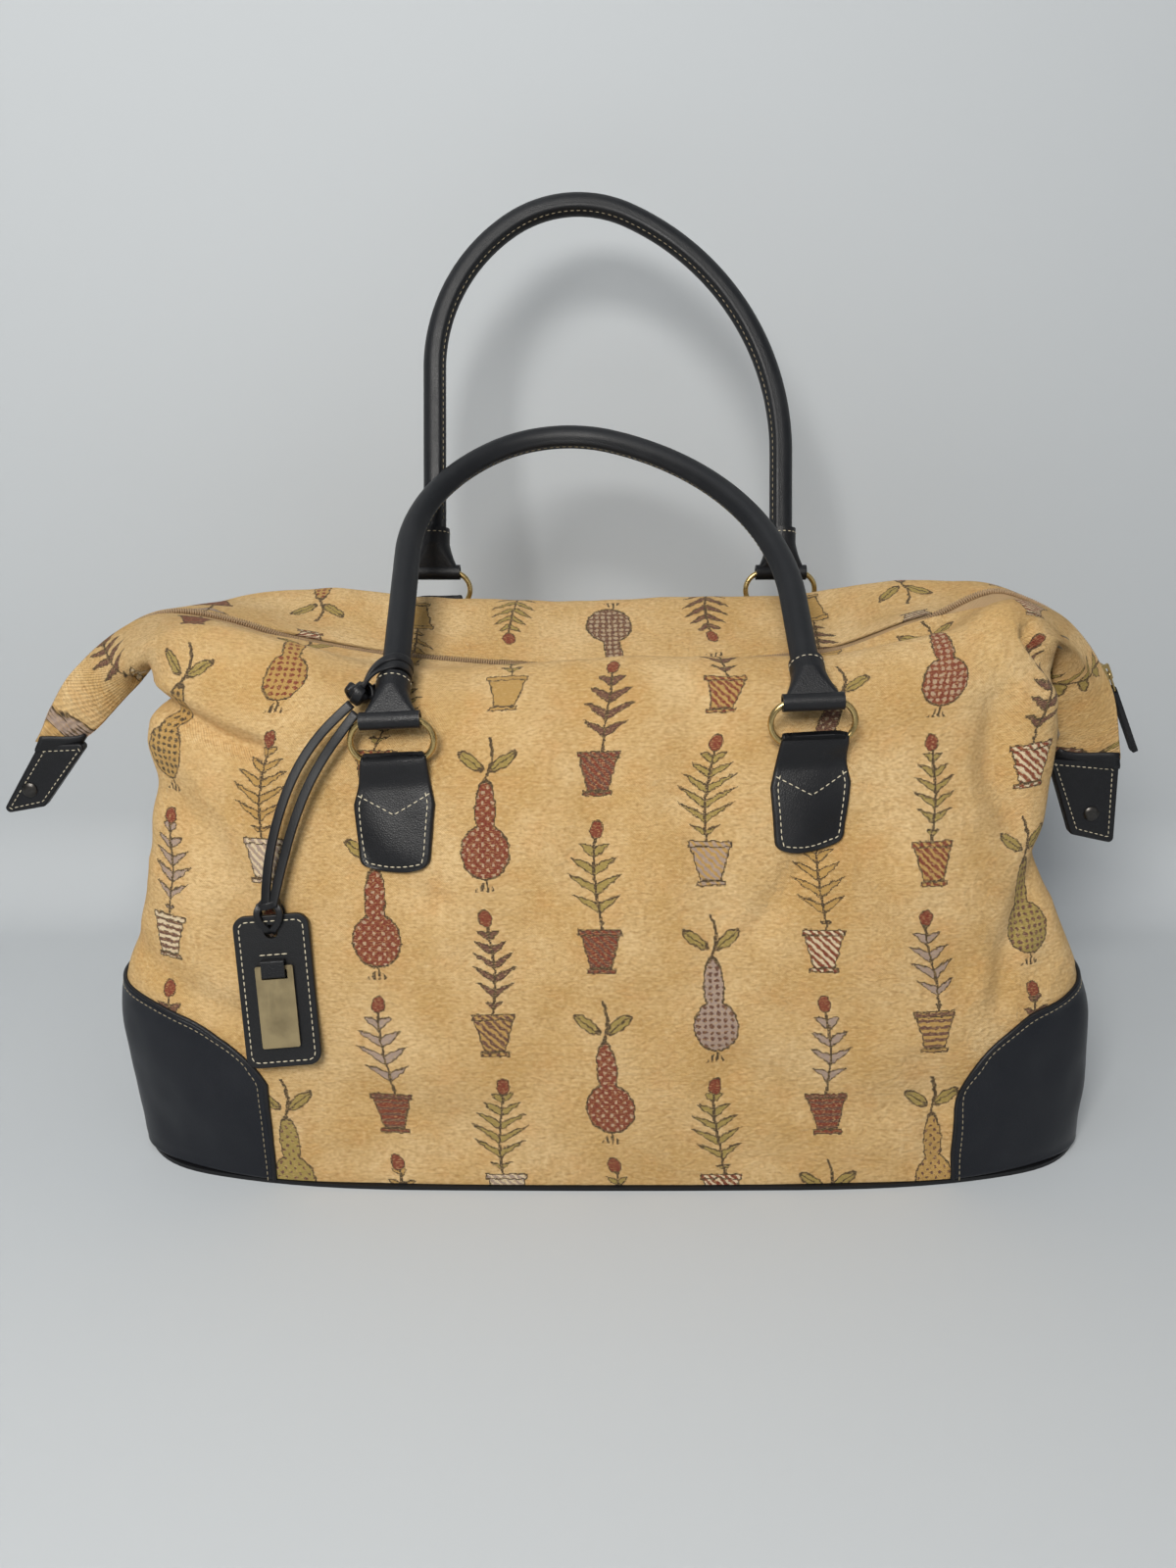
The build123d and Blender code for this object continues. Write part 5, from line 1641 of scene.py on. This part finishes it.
@dataclass(frozen=True)
class CornerPatch:
    """Leather patch over one base corner with its piping and its stitches."""

    shop: Workshop
    hand: Hand
    inner_edge: float = 171.5
    foot: float = 2.6
    leather: float = 1.5
    piping: float = 1.15
    piping_lift: float = 0.9
    stitch_inset: float = 3.4
    stitch_lift: float = 1.75
    stitch: Bead = Bead(3.1, 2.2, 0.26)
    # Distance from the bag's middle and height along the upper edge
    upper_edge: Corners = (
        (171.0, 36.0), (172.5, 46.0), (178.0, 59.0), (186.0, 69.0), (199.0, 78.0), (217.0, 86.0), (250.0, 95.0))

    def build(self) -> None:
        """Makes the patch, its piping and its stitches."""
        shop, word = self.shop, self.hand.word
        points, normals = self._grid()
        obj = leather_piece(f"patch_{word}", points, normals, 0.25, self.leather, 2.0, 0.25)
        shop.own(obj, Body.BAG, Slot.TRIM, f"{word}_corner_patch", material=shop.materials.patch)
        edge, out = (np.concatenate([grid[0, :-1], grid[:, -1], grid[-1, -2::-1]]) for grid in (points, normals))
        piping = sweep(f"patch_piping_{word}", edge + out * self.piping_lift, out, round_profile(self.piping, 10))
        shop.own(piping, Body.BAG, Slot.TRIM)
        line, away = self._inset(points, self.stitch_inset)
        line = smoothed(even_points(line + away * self.stitch_lift, 2.0), 4)
        # Stitches in the darker copy of the thread: painted shade.
        shop.beads.bake(f"patch_stitches_{word}", [line], self.stitch, shop.materials.shaded_thread)

    def _grid(self) -> tuple[Array, Array]:
        """Points under the patch, from its front edge round to its back edge, and their normals."""
        side = self.hand.value
        half_way = np.linspace(0.0, 1.0, 76)
        half_way = 0.5 * (0.30 * half_way + 0.70 * half_way**2.2)
        around = np.concatenate([half_way, 1 - half_way[-2::-1]])
        up = edge_spread(22, 2.4, 80.0)
        halves = []
        for cloth, share in ((self.shop.front, around[around <= 0.5] * 2),
                             (self.shop.back, (1 - around[around > 0.5]) * 2)):
            s_in, _ = cloth.locate(np.full(up.shape, side * self.inner_edge), self.foot + up * 40.0)
            s = side * (np.abs(s_in)[None, :] * (1 - share[:, None]) + share[:, None])
            x = np.abs(cloth.at(s, np.full(s.shape, 0.2))[0][..., 0])
            height = self._top(x[:, :1] - x.min() + self.inner_edge)
            z = self.foot + up[None, :] * (height - self.foot)
            halves.append(cloth.at(s, self._level(cloth, s, z)))
        points, normals = (self._round_corner(np.concatenate([half[k] for half in halves])) for k in (0, 1))
        return points, unit(normals)

    def _top(self, x: Array) -> Array:
        """Height of the upper edge at distances from the bag's middle."""
        across, height = np.array(self.upper_edge).T
        return smooth_through(across, height, np.clip(x, across[0], across[-1]).ravel()).reshape(x.shape)

    @staticmethod
    def _level(cloth: Cloth, s: Array, z: Array) -> Array:
        """Share up the sheet at which each place has a height.

        Args:
            cloth: Sheet of canvas.
            s: Shares along it.
            z: Heights to find.

        Returns:
            Shares up the sheet.
        """
        low, high = np.zeros(s.shape), np.full(s.shape, 0.6)
        for _ in range(18):
            middle = (low + high) / 2
            under = cloth.at(s, middle)[0][..., 2] < z
            low, high = np.where(under, middle, low), np.where(under, high, middle)
        return (low + high) / 2

    @staticmethod
    def _round_corner(grid: Array) -> Array:
        """A grid evened out across the side seam, where the two panels meet."""
        out, half = grid.copy(), grid.shape[0] // 2
        for _ in range(6):
            left, middle, right = (out[half + k - 5:half + k + 5] for k in (-1, 0, 1))
            out[half - 5:half + 5] = (left + 2 * middle + right) / 4
        return out

    @staticmethod
    def _inset(points: Array, distance: float) -> tuple[Array, Array]:
        """Line inside the two ends and the upper edge of a grid.

        Args:
            points: The grid.
            distance: Distance from its edges.

        Returns:
            Points of the line and the outward normals there.
        """
        normals = grid_normals(points)
        if np.sum((points[0, 0] - points.reshape(-1, 3).mean(axis=0)) * normals[0, 0]) < 0:
            normals = -normals
        along, up = run_length(points)[:, 0], run_length(points, 1)
        down, top = up[:, -1:] - up, points.shape[1]
        first = int(np.argmin(np.abs(along - distance)))
        last = int(np.argmin(np.abs(along[-1] - along - distance)))
        places = [(first, j) for j in range(2, top) if down[first, j] >= distance]
        places += [(i, int(np.argmin(np.abs(down[i] - distance)))) for i in range(first + 1, last)]
        places += [(last, j) for j in range(top - 1, 1, -1) if down[last, j] >= distance]
        i, j = np.array(places).T
        return points[i, j], normals[i, j]


@dataclass(frozen=True)
class AnchorTab:
    """Leather tab that folds over a ring's lower bar and is sewn to the canvas."""

    shop: Workshop
    word: str
    hand: Hand
    cloth: Cloth
    place: HandleSide
    length: float = 50.0
    corner: float = 5.0
    roll: float = 2.0
    bar_half: float = 15.0
    leather: float = 2.3
    stitch_inset: float = 3.3
    dip_half: float = 16.2
    dip: float = 8.5
    stitch: Bead = Bead(3.2, 2.3, 0.30)

    def build(self) -> None:
        """Makes the tab and its stitches."""
        shop, anchor = self.shop, self.place.anchor
        across, drops, half = self._outline()
        bar = anchor.place(np.array([[self.hand.value * HANDLE.spacing / 2, 0.0, 0.0]]))[0]
        x = bar[0] + across[None, :] * half[:, None]
        sag = 2.2 * (1 - across[None, :] ** 2) * smooth_step(30, self.length, drops)[:, None]
        z = bar[2] + (x - bar[0]) * anchor.x[2] - drops[:, None] - sag
        wall, normal = self.cloth.at(*self.cloth.locate(x, z))
        facing = normal[0, len(across) // 2]
        bar_line = bar + (x[0] - bar[0])[:, None] * anchor.x
        stand = np.sum((bar_line - wall[0]) * facing, axis=1) + self.roll
        lift = 0.5 + (stand[None, :] - 0.5) * (1 - smooth_step(1.5, 14.0, drops))[:, None]
        flap = wall + normal * lift[..., None]
        rolled, turned = self._round_bar(bar, across, facing)
        name = f"{self.word}_{self.hand.word}_tab"
        obj = leather_piece(name + "_leather", np.concatenate([rolled, flap]), np.concatenate([turned, normal]),
                            0.0, self.leather, 1.8, 0.3)
        shop.own(obj, Body.BAG, Slot.TRIM, name)
        lines = self._stitch_lines(flap + normal * (self.leather + 0.05), across, drops, half)
        shop.beads.bake(name + "_stitches", lines, self.stitch, shop.materials.thread)

    def _outline(self) -> tuple[Array, Array, Array]:
        """Shares across the tab, distances down from its bar and its half width at each."""
        end = self.length - self.corner
        drops = np.concatenate([[0.5, 2.5, 5.0, 8.0], np.linspace(11.0, end, 18),
                                self.length - np.array([4.0, 3.0, 2.0, 1.2, 0.6, 0.25, 0.0])])
        half = np.interp(drops, [0, 9, 21, end, self.length], [15.0, 16.6, 19.6, 17.6, 17.4])
        half -= self.corner - np.sqrt(self.corner**2 - np.clip(drops - end, 0, self.corner) ** 2)
        return edge_spread(14, 2.2, 38.0) * 2 - 1, drops, half

    def _round_bar(self, bar: Array, across: Array, facing: Array) -> tuple[Array, Array]:
        """Part of the tab that turns round the ring's bar.

        Args:
            bar: Middle of the bar.
            across: Shares across the tab.
            facing: Outward normal of the cloth behind the bar.

        Returns:
            Points of that part and their normals.
        """
        out = unit(facing * np.array([0, 1, 1]))
        up = np.cross(self.place.anchor.x, out)
        up *= np.sign(up[2])
        ends = bar + (across[:, None] * self.bar_half) * self.place.anchor.x
        ways = [math.cos(a) * out + math.sin(a) * up for a in np.radians(np.linspace(205.0, 8.0, 16))]
        return (np.stack([ends + self.roll * way for way in ways]),
                np.stack([np.broadcast_to(way, ends.shape) for way in ways]))

    def _stitch_lines(self, top: Array, across: Array, drops: Array, half: Array) -> list[Array]:
        """Border stitches round three sides and the dipped row under the bar.

        Args:
            top: Grid of the flap's upper face.
            across: Shares across it.
            drops: Distances down from the bar.
            half: Half width at each distance.

        Returns:
            The two lines.
        """
        def read(c: Array, drop: Array) -> Array:
            """Places on the flap, by distance from its middle line and from its bar."""
            i = np.interp(drop, drops, np.arange(len(drops)))
            j = np.interp(c / np.interp(drop, drops, half), across, np.arange(len(across)))
            return read_grid(top, i, j)

        down, up = np.arange(17.0, self.length - 6, 2.0), np.arange(self.length - 7, 16.0, -2.0)
        left = read(self.stitch_inset - np.interp(down, drops, half), down)
        bottom = read(np.linspace(-13.5, 13.5, 9), np.full(9, self.length - 3.2))
        right = read(np.interp(up, drops, half) - self.stitch_inset, up)
        c = np.linspace(self.dip_half, -self.dip_half, 19)
        dip = read(c, 17.0 + (1 - np.abs(c) / self.dip_half) * self.dip)
        return [np.concatenate([left, bottom, right]), dip]


@dataclass(frozen=True)
class TubeHandle:
    """One handle's leather tube, its seam stitches and the stitches round its two ends."""

    shop: Workshop
    word: str
    place: HandleSide
    body: Body
    ridge_angle: float
    seam_turn: float = -24.0
    seam_stitch: Bead = Bead(3.6, 2.3, 0.24)
    end_stitch: Bead = Bead(3.0, 2.0, 0.26)

    def build(self) -> None:
        """Makes the tube and its stitches."""
        shop, word = self.shop, self.word
        tube = self.place.tube(f"{word}_handle_tube", self.ridge_angle, HANDLE.chape - 9.0)
        shop.own(tube, self.body, Slot.HANDLE, f"{word}_handle")
        seam = self.place.seam(self.ridge_angle + self.seam_turn, HANDLE.chape + 6.0)
        # Seam stitches in the darker copy of the thread: painted shade.
        shop.beads.bake(f"{word}_handle_stitches", [seam], self.seam_stitch, shop.materials.shaded_thread,
                        self.body, Slot.HANDLE)
        shop.beads.bake(f"{word}_chape_stitches", [self._end_ring(hand.value) for hand in Hand], self.end_stitch,
                        shop.materials.thread, self.body)

    def _end_ring(self, side: int) -> Array:
        """Circle round the leather end of one leg."""
        a = np.linspace(0, 2 * math.pi, 37)
        reach = HANDLE.sleeve / 2 + 0.05
        ring = np.stack([side * HANDLE.spacing / 2 + reach * np.cos(a), np.full(37, HANDLE.chape - 2.6),
                         reach * np.sin(a)], axis=1)
        return self.place.handle.place(ring)


@dataclass(frozen=True)
class ZipTop:
    """Zip tapes under the canvas edges and the turns of the two coils."""

    shop: Workshop
    samples: int = 300
    coil_offset: float = 1.75
    turn: Bead = Bead(1.25, 1.0, 1.4)

    def build(self) -> None:
        """Makes both tapes, then both coils."""
        for word, cloth, _ in self.shop.faces:
            self._tape(word, cloth)
        for word, cloth, _ in self.shop.faces:
            line = ZIP.read(np.linspace(-0.995, 0.995, 400), 1.0)
            offset = np.full(len(line), cloth.face.sign * self.coil_offset)
            points = np.stack([line[:, 0], offset, line[:, 1]], axis=1)
            obj = self.shop.beads.bake(f"coil_turns_{word}", [points], self.turn, self.shop.materials.coil,
                                       slot=Slot.COIL)
            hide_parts(f"zip_coil_{word}")

    def _tape(self, word: str, cloth: Cloth) -> None:
        """Tape from its coil to the inside of the canvas edge.

        Args:
            word: Front or back.
            cloth: Sheet that it is sewn under.
        """
        sign, count = cloth.face.sign, self.samples
        across = np.linspace(-0.998, 0.998, count)
        line = ZIP.read(across, 0.1)
        columns = [np.stack([line[:, 0], np.full(count, sign * y), line[:, 1]], axis=1) for y in (0.35, 2.0, 4.4)]
        for level, lift in ((0.998, -2.0), (0.985, -2.1), (0.972, -2.1)):
            point, normal = cloth.at(across, np.full(count, level))
            columns.append(point + normal * lift)
        obj = grid_object(f"zip_tape_cloth_{word}", np.stack(columns, axis=1), flip=sign < 0)
        self.shop.own(obj, Body.BAG, Slot.TAPE, f"zip_tape_{word}")


@dataclass(frozen=True)
class WingCaps:
    """Turned edge and stitches of the two leather wing ends."""

    shop: Workshop
    face_lift: float = 3.45
    stitch: Bead = Bead(3.1, 2.1, 0.26)
    # Corners of the stitched outlines, X and Z
    left_outline: Corners = ((-306.5, 193.2), (-287.5, 194.0), (-312.0, 164.2), (-330.5, 160.0))
    right_outline: Corners = ((240.6, 185.6), (271.6, 182.8), (275.4, 143.2), (257.2, 148.0))

    def build(self) -> None:
        """Makes both turned edges, then the stitches of both ends."""
        for hand in Hand:
            self._mouth(hand)
        for hand, outline in zip(Hand, (self.left_outline, self.right_outline)):
            loops = [np.array([(x, y, z) for x, z in outline + outline[:1]])
                     for y in (-self.face_lift, self.face_lift)]
            self.shop.beads.bake(f"{hand.word}_cap_stitches", loops, self.stitch, self.shop.materials.thread)

    def _mouth(self, hand: Hand) -> None:
        """Turned edge of the leather, round the canvas that goes into it.

        Args:
            hand: End of the bag.
        """
        rise = np.linspace(0.935, 1.0, 10)
        around = [(self.shop.front, level) for level in rise] + [(self.shop.back, level) for level in rise[::-1]]

        def ring(share: float, grow: float) -> Array:
            """Points round the wing at a share along the sheets, grown outwards."""
            found = [cloth.at(np.array([hand.value * share]), np.array([level])) for cloth, level in around]
            return np.array([point[0] + normal[0] * grow for point, normal in found])

        rings = [ring(share, grow) for share, grow in ((0.986, 0.5), (0.986, 1.5), (0.993, 1.9), (1.0, 1.9))]
        end = rings[-1]
        onwards = unit(end - ring(0.97, 0.0))
        rings += [end + onwards * 2.5, end * np.array([1, 0.8, 1]) + onwards * 4.6]
        obj = grid_object(f"{hand.word}_cap_mouth", np.array(rings), close_columns=True)
        face_out(obj)
        self.shop.own(obj, Body.BAG, Slot.TRIM)


@dataclass(frozen=True)
class TagStitches:
    """Border stitches of the tag and the row that holds its plate's loop."""

    shop: Workshop
    half: float = 15.2
    top: float = 5.2
    bottom: float = -65.2
    corner: float = 3.6
    lift: float = 1.55
    bar_half: float = 5.2
    bar_height: float = -11.4
    border_stitch: Bead = Bead(3.2, 2.3, 0.30)
    bar_stitch: Bead = Bead(3.3, 2.9, 0.34)

    def build(self) -> None:
        """Makes both rows of stitches."""
        x, high, low = self.half - self.corner, self.top - self.corner, self.bottom + self.corner
        border = []
        for cx, cy, start in ((x, high, 0.0), (-x, high, 90.0), (-x, low, 180.0), (x, low, 270.0)):
            for a in np.radians(np.linspace(start, start + 90, 7)):
                border.append((cx + self.corner * math.cos(a), cy + self.corner * math.sin(a), self.lift))
        bar = [(side * self.bar_half, self.bar_height, self.lift) for side in (-1, 1)]
        for name, line, stitch in (("tag_border_stitches", border + border[:1], self.border_stitch),
                                   ("tag_bar_stitches", bar, self.bar_stitch)):
            self.shop.beads.bake(name, [TAG_PLANE.place(np.array(line))], stitch, self.shop.materials.thread,
                                 Body.TAG, Slot.TAG)


@dataclass(frozen=True)
class Strand:
    """Route of one hanging strand of the lace, and its length, in millimetres."""

    route: tuple[tuple[float, float, float], ...]
    length: float


@dataclass(frozen=True)
class Lace:
    """The lace: turns round the handle, knot, two hanging strands and hitch on the tag."""

    shop: Workshop
    width: float = 4.6
    thickness: float = 1.7
    knot_place: tuple[float, float, float] = (-123.2, -58.0, 241.5)
    knot_size: float = 2.45
    outer: Strand = Strand(
        ((-125.5, -67.0, 239.0), (-135.0, -70.5, 231.0), (-145.0, -74.0, 220.0), (-153.5, -79.5, 206.5),
         (-160.0, -86.0, 190.0), (-164.5, -92.3, 172.0), (-166.4, -98.0, 155.0), (-166.4, -100.2, 148.9)), 107.5)
    inner: Strand = Strand(
        ((-123.0, -70.3, 235.6), (-129.5, -73.5, 227.5), (-138.5, -76.5, 215.5), (-146.5, -81.5, 202.0),
         (-153.0, -87.5, 186.0), (-158.0, -93.2, 169.0), (-161.7, -98.6, 154.5), (-162.9, -100.6, 148.7)), 101.4)

    def build(self) -> None:
        """Makes the turns, the knot, the hitch and the two strands."""
        self.shop.own(self._turns(), Body.FRONT_HANDLE, Slot.LACE, "lace_wrap")
        self.shop.own(self._knot(), Body.LACE, Slot.LACE, "lace_knot")
        self.shop.own(self._hitch(), Body.LACE, Slot.LACE, "lace_hitch")
        for name, strand in (("lace_outer", self.outer), ("lace_inner", self.inner)):
            path = nurbs_points(strand.route)
            out = np.tile(np.array([-0.25, -1.0, 0.15]), (len(path), 1))
            obj = sweep(name + "_strap", path, out, strap_profile(self.width, self.thickness))
            self.shop.own(obj, Body.LACE, Slot.LACE, name)

    def _turns(self) -> Object:
        """The two turns round the handle's left leg."""
        handle, turns = FRONT_SIDE.handle, []
        leg = Plane(handle.place(np.array([[-HANDLE.spacing / 2, 0, 0]]))[0], handle.x, handle.y)
        for rise, reach in ((0.0, 7.9), (4.6, 8.3)):
            guides = np.array([(-14.5, 18.0, 2.6), (-9.6, 22.6, 7.4), (-4.0, 26.3, reach + 0.4), (3.0, 28.6, reach),
                               (reach - 0.4, 29.6, 2.0), (reach - 1.4, 29.6, -4.6), (0.0, 28.4, -reach),
                               (-6.4, 25.6, -6.6), (-10.6, 21.4, -4.6), (-14.5, 17.4, -2.4)])
            guides[:, 1] += rise * np.array([0.25, 0.7, 1, 1, 1, 1, 1, 0.9, 0.6, 0.2])
            steps = np.arange(len(guides), dtype=float)
            path = smooth_through(steps, guides, np.linspace(0, steps[-1], 64))
            out = path * np.array([1, 0, 1]) + NUDGE
            turns.append(sweep("turn", leg.place(path), leg.place(out) - leg.origin,
                               strap_profile(self.width, self.thickness)))
        return join("lace_turns", turns)

    def _knot(self) -> Object:
        """Overhand knot of the flat lace, drawn tight round a small core."""
        a = np.linspace(0, 2 * math.pi, 121)[:-1]
        trefoil = np.stack([np.sin(a) + 1.55 * np.sin(2 * a), np.cos(a) - 1.55 * np.cos(2 * a),
                            -1.35 * np.sin(3 * a)], axis=1)
        place = np.array(self.knot_place)
        band = sweep("knot_turns", place + trefoil * self.knot_size, trefoil + NUDGE, strap_profile(4.8, 1.9),
                     closed=True)
        core = sweep("knot_core", place + np.array([(-2.6, 0, -1.8), (0, 0, 0), (2.6, 0, 1.8)]),
                     np.tile(np.array([0.0, -1.0, 0.0]), (3, 1)), strap_profile(9.0, 8.4))
        return join("lace_knot_turns", [band, core])

    @staticmethod
    def _hitch() -> Object:
        """Lark's head of the lace through the tag's hole and over its top edge."""
        bands = []
        for side, face in ((-1, 1), (-1, -1), (1, 1), (1, -1)):
            guides = np.array([(side * 1.7, 15.0, 0.4), (side * 4.4, 12.2, face * 2.3 + 0.6),
                               (side * 5.4, 8.8, face * 3.1 + 0.4), (side * 4.0, 4.6, face * 3.0 + 0.4),
                               (side * 1.5, 1.2, face * 2.2 + 0.4), (side * 0.7, -0.6, 0.6)])
            path = smooth_through(np.arange(6.0), guides, np.linspace(0, 5, 30))
            out = np.tile(TAG_PLANE.z * face, (30, 1))
            width = 3.2 if face > 0 else 2.6
            bands.append(sweep("band", TAG_PLANE.place(path), out, strap_profile(width, 1.5)))
        a = np.linspace(0, 2 * math.pi, 41)[:-1]
        collar = np.stack([5.2 * np.cos(a), 13.0 + 0.9 * np.cos(a), 0.5 + 3.0 * np.sin(a)], axis=1)
        out = TAG_PLANE.place(collar - np.array([0.0, 13.0, 0.5])) - TAG_PLANE.origin
        bands.append(sweep("band", TAG_PLANE.place(collar), out, strap_profile(3.4, 1.5), closed=True))
        return join("lace_hitch_bands", bands)


# Stage, light and camera


@dataclass(frozen=True)
class Backdrop:
    """Pale seamless sheet: floor, curve and wall, in metres."""

    half_width: float = 2.5
    front: float = -1.5
    floor_end: float = 0.10
    curve_start: float = 0.15
    radius: float = 0.07
    top: float = 2.2
    colour: Colour = (0.50, 0.525, 0.545)

    def build(self) -> None:
        """Makes the sheet and its material."""
        line = [(self.front, 0.0), (self.floor_end, 0.0)]
        for a in np.radians(np.linspace(0, 90, 13)):
            line.append((self.curve_start + self.radius * math.sin(a), self.radius * (1 - math.cos(a))))
        line.append((self.curve_start + self.radius, self.top))
        vertices = [(x, y, z) for x in (-self.half_width, self.half_width) for y, z in line]
        count = len(line)
        faces = [(k, k + 1, count + k + 1, count + k) for k in range(count - 1)]
        obj = new_object("backdrop", np.array(vertices) / MM, faces)
        material, _, bsdf = new_material("Backdrop")
        set_inputs(bsdf, Base_Color=(*self.colour, 1.0), Roughness=0.9, Specular_IOR_Level=0.1)
        wear(obj, material)


@dataclass(frozen=True)
class AreaLight:
    """Soft square light that points at a place; metres and watts."""

    name: str
    place: tuple[float, float, float]
    aim: tuple[float, float, float]
    size: float
    power: float
    colour: Colour

    def build(self) -> None:
        """Makes the light."""
        data = bpy.data.lights.new(self.name, "AREA")
        data.size, data.energy, data.color = self.size, self.power, self.colour
        obj = bpy.data.objects.new(self.name, data)
        obj.location = self.place
        obj.rotation_mode = "QUATERNION"
        obj.rotation_quaternion = (Vector(self.aim) - Vector(self.place)).to_track_quat("-Z", "Y")
        bpy.context.scene.collection.objects.link(obj)


LIGHTS = (
    AreaLight("key", (-0.35, -1.25, 1.15), (0.0, 0.0, 0.17), 0.60, 25.0, (1.0, 0.975, 0.93)),
    AreaLight("fill", (1.4, -1.5, 0.7), (0.0, 0.0, 0.15), 1.2, 2.0, (0.95, 0.97, 1.0)),
    AreaLight("top", (-0.5, -0.6, 1.9), (-0.1, -0.3, 0.0), 1.0, 5.0, (0.94, 0.97, 1.0)),
)


def light_and_camera() -> None:
    """Soft light from the left and above, and the camera that took the view."""
    for light in LIGHTS:
        light.build()
    world = bpy.data.worlds.new("Studio")
    world.use_nodes = True
    set_inputs(world.node_tree.nodes["Background"], Color=(0.84, 0.88, 0.93, 1.0), Strength=0.22)
    scene = bpy.context.scene
    scene.world = world
    camera = bpy.data.cameras.new("camera")
    camera.lens, camera.sensor_width, camera.sensor_fit = 27.0, 36.0, "AUTO"
    camera.clip_start = 0.01
    obj = bpy.data.objects.new("camera", camera)
    obj.location = (-0.013, -0.604, 0.399)
    obj.rotation_euler = (math.radians(69.5), 0.0, 0.0)
    scene.collection.objects.link(obj)
    scene.camera = obj


def render_settings() -> None:
    """Cycles with plain colours at the photograph's size."""
    scene = bpy.context.scene
    scene.render.engine = "CYCLES"
    scene.cycles.samples = 96
    scene.cycles.use_denoising = True
    scene.cycles.seed = 7
    scene.render.resolution_x, scene.render.resolution_y = 1200, 1600
    scene.view_settings.view_transform = "Standard"


def main() -> None:
    """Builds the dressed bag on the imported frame."""
    logging.basicConfig(level=logging.INFO)
    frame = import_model()
    render_settings()
    light_and_camera()
    Backdrop().build()
    materials = Materials()
    shop = Workshop(materials, BeadRow(), Cloth(FRONT, FRONT_FOLDS, 3.1), Cloth(BACK, BACK_FOLDS, 11.7))
    dress_solids(frame, materials)
    assemblies = [Panels(shop)]
    for hand in Hand:
        assemblies.append(CornerPatch(shop, hand))
        assemblies += [AnchorTab(shop, word, hand, cloth, place) for word, cloth, place in shop.faces]
    assemblies += [TubeHandle(shop, "front", FRONT_SIDE, Body.FRONT_HANDLE, 4.0),
                   TubeHandle(shop, "back", BACK_SIDE, Body.BACK_HANDLE, 60.0),
                   ZipTop(shop), WingCaps(shop), TagStitches(shop), Lace(shop)]
    for assembly in assemblies:
        assembly.build()


main()
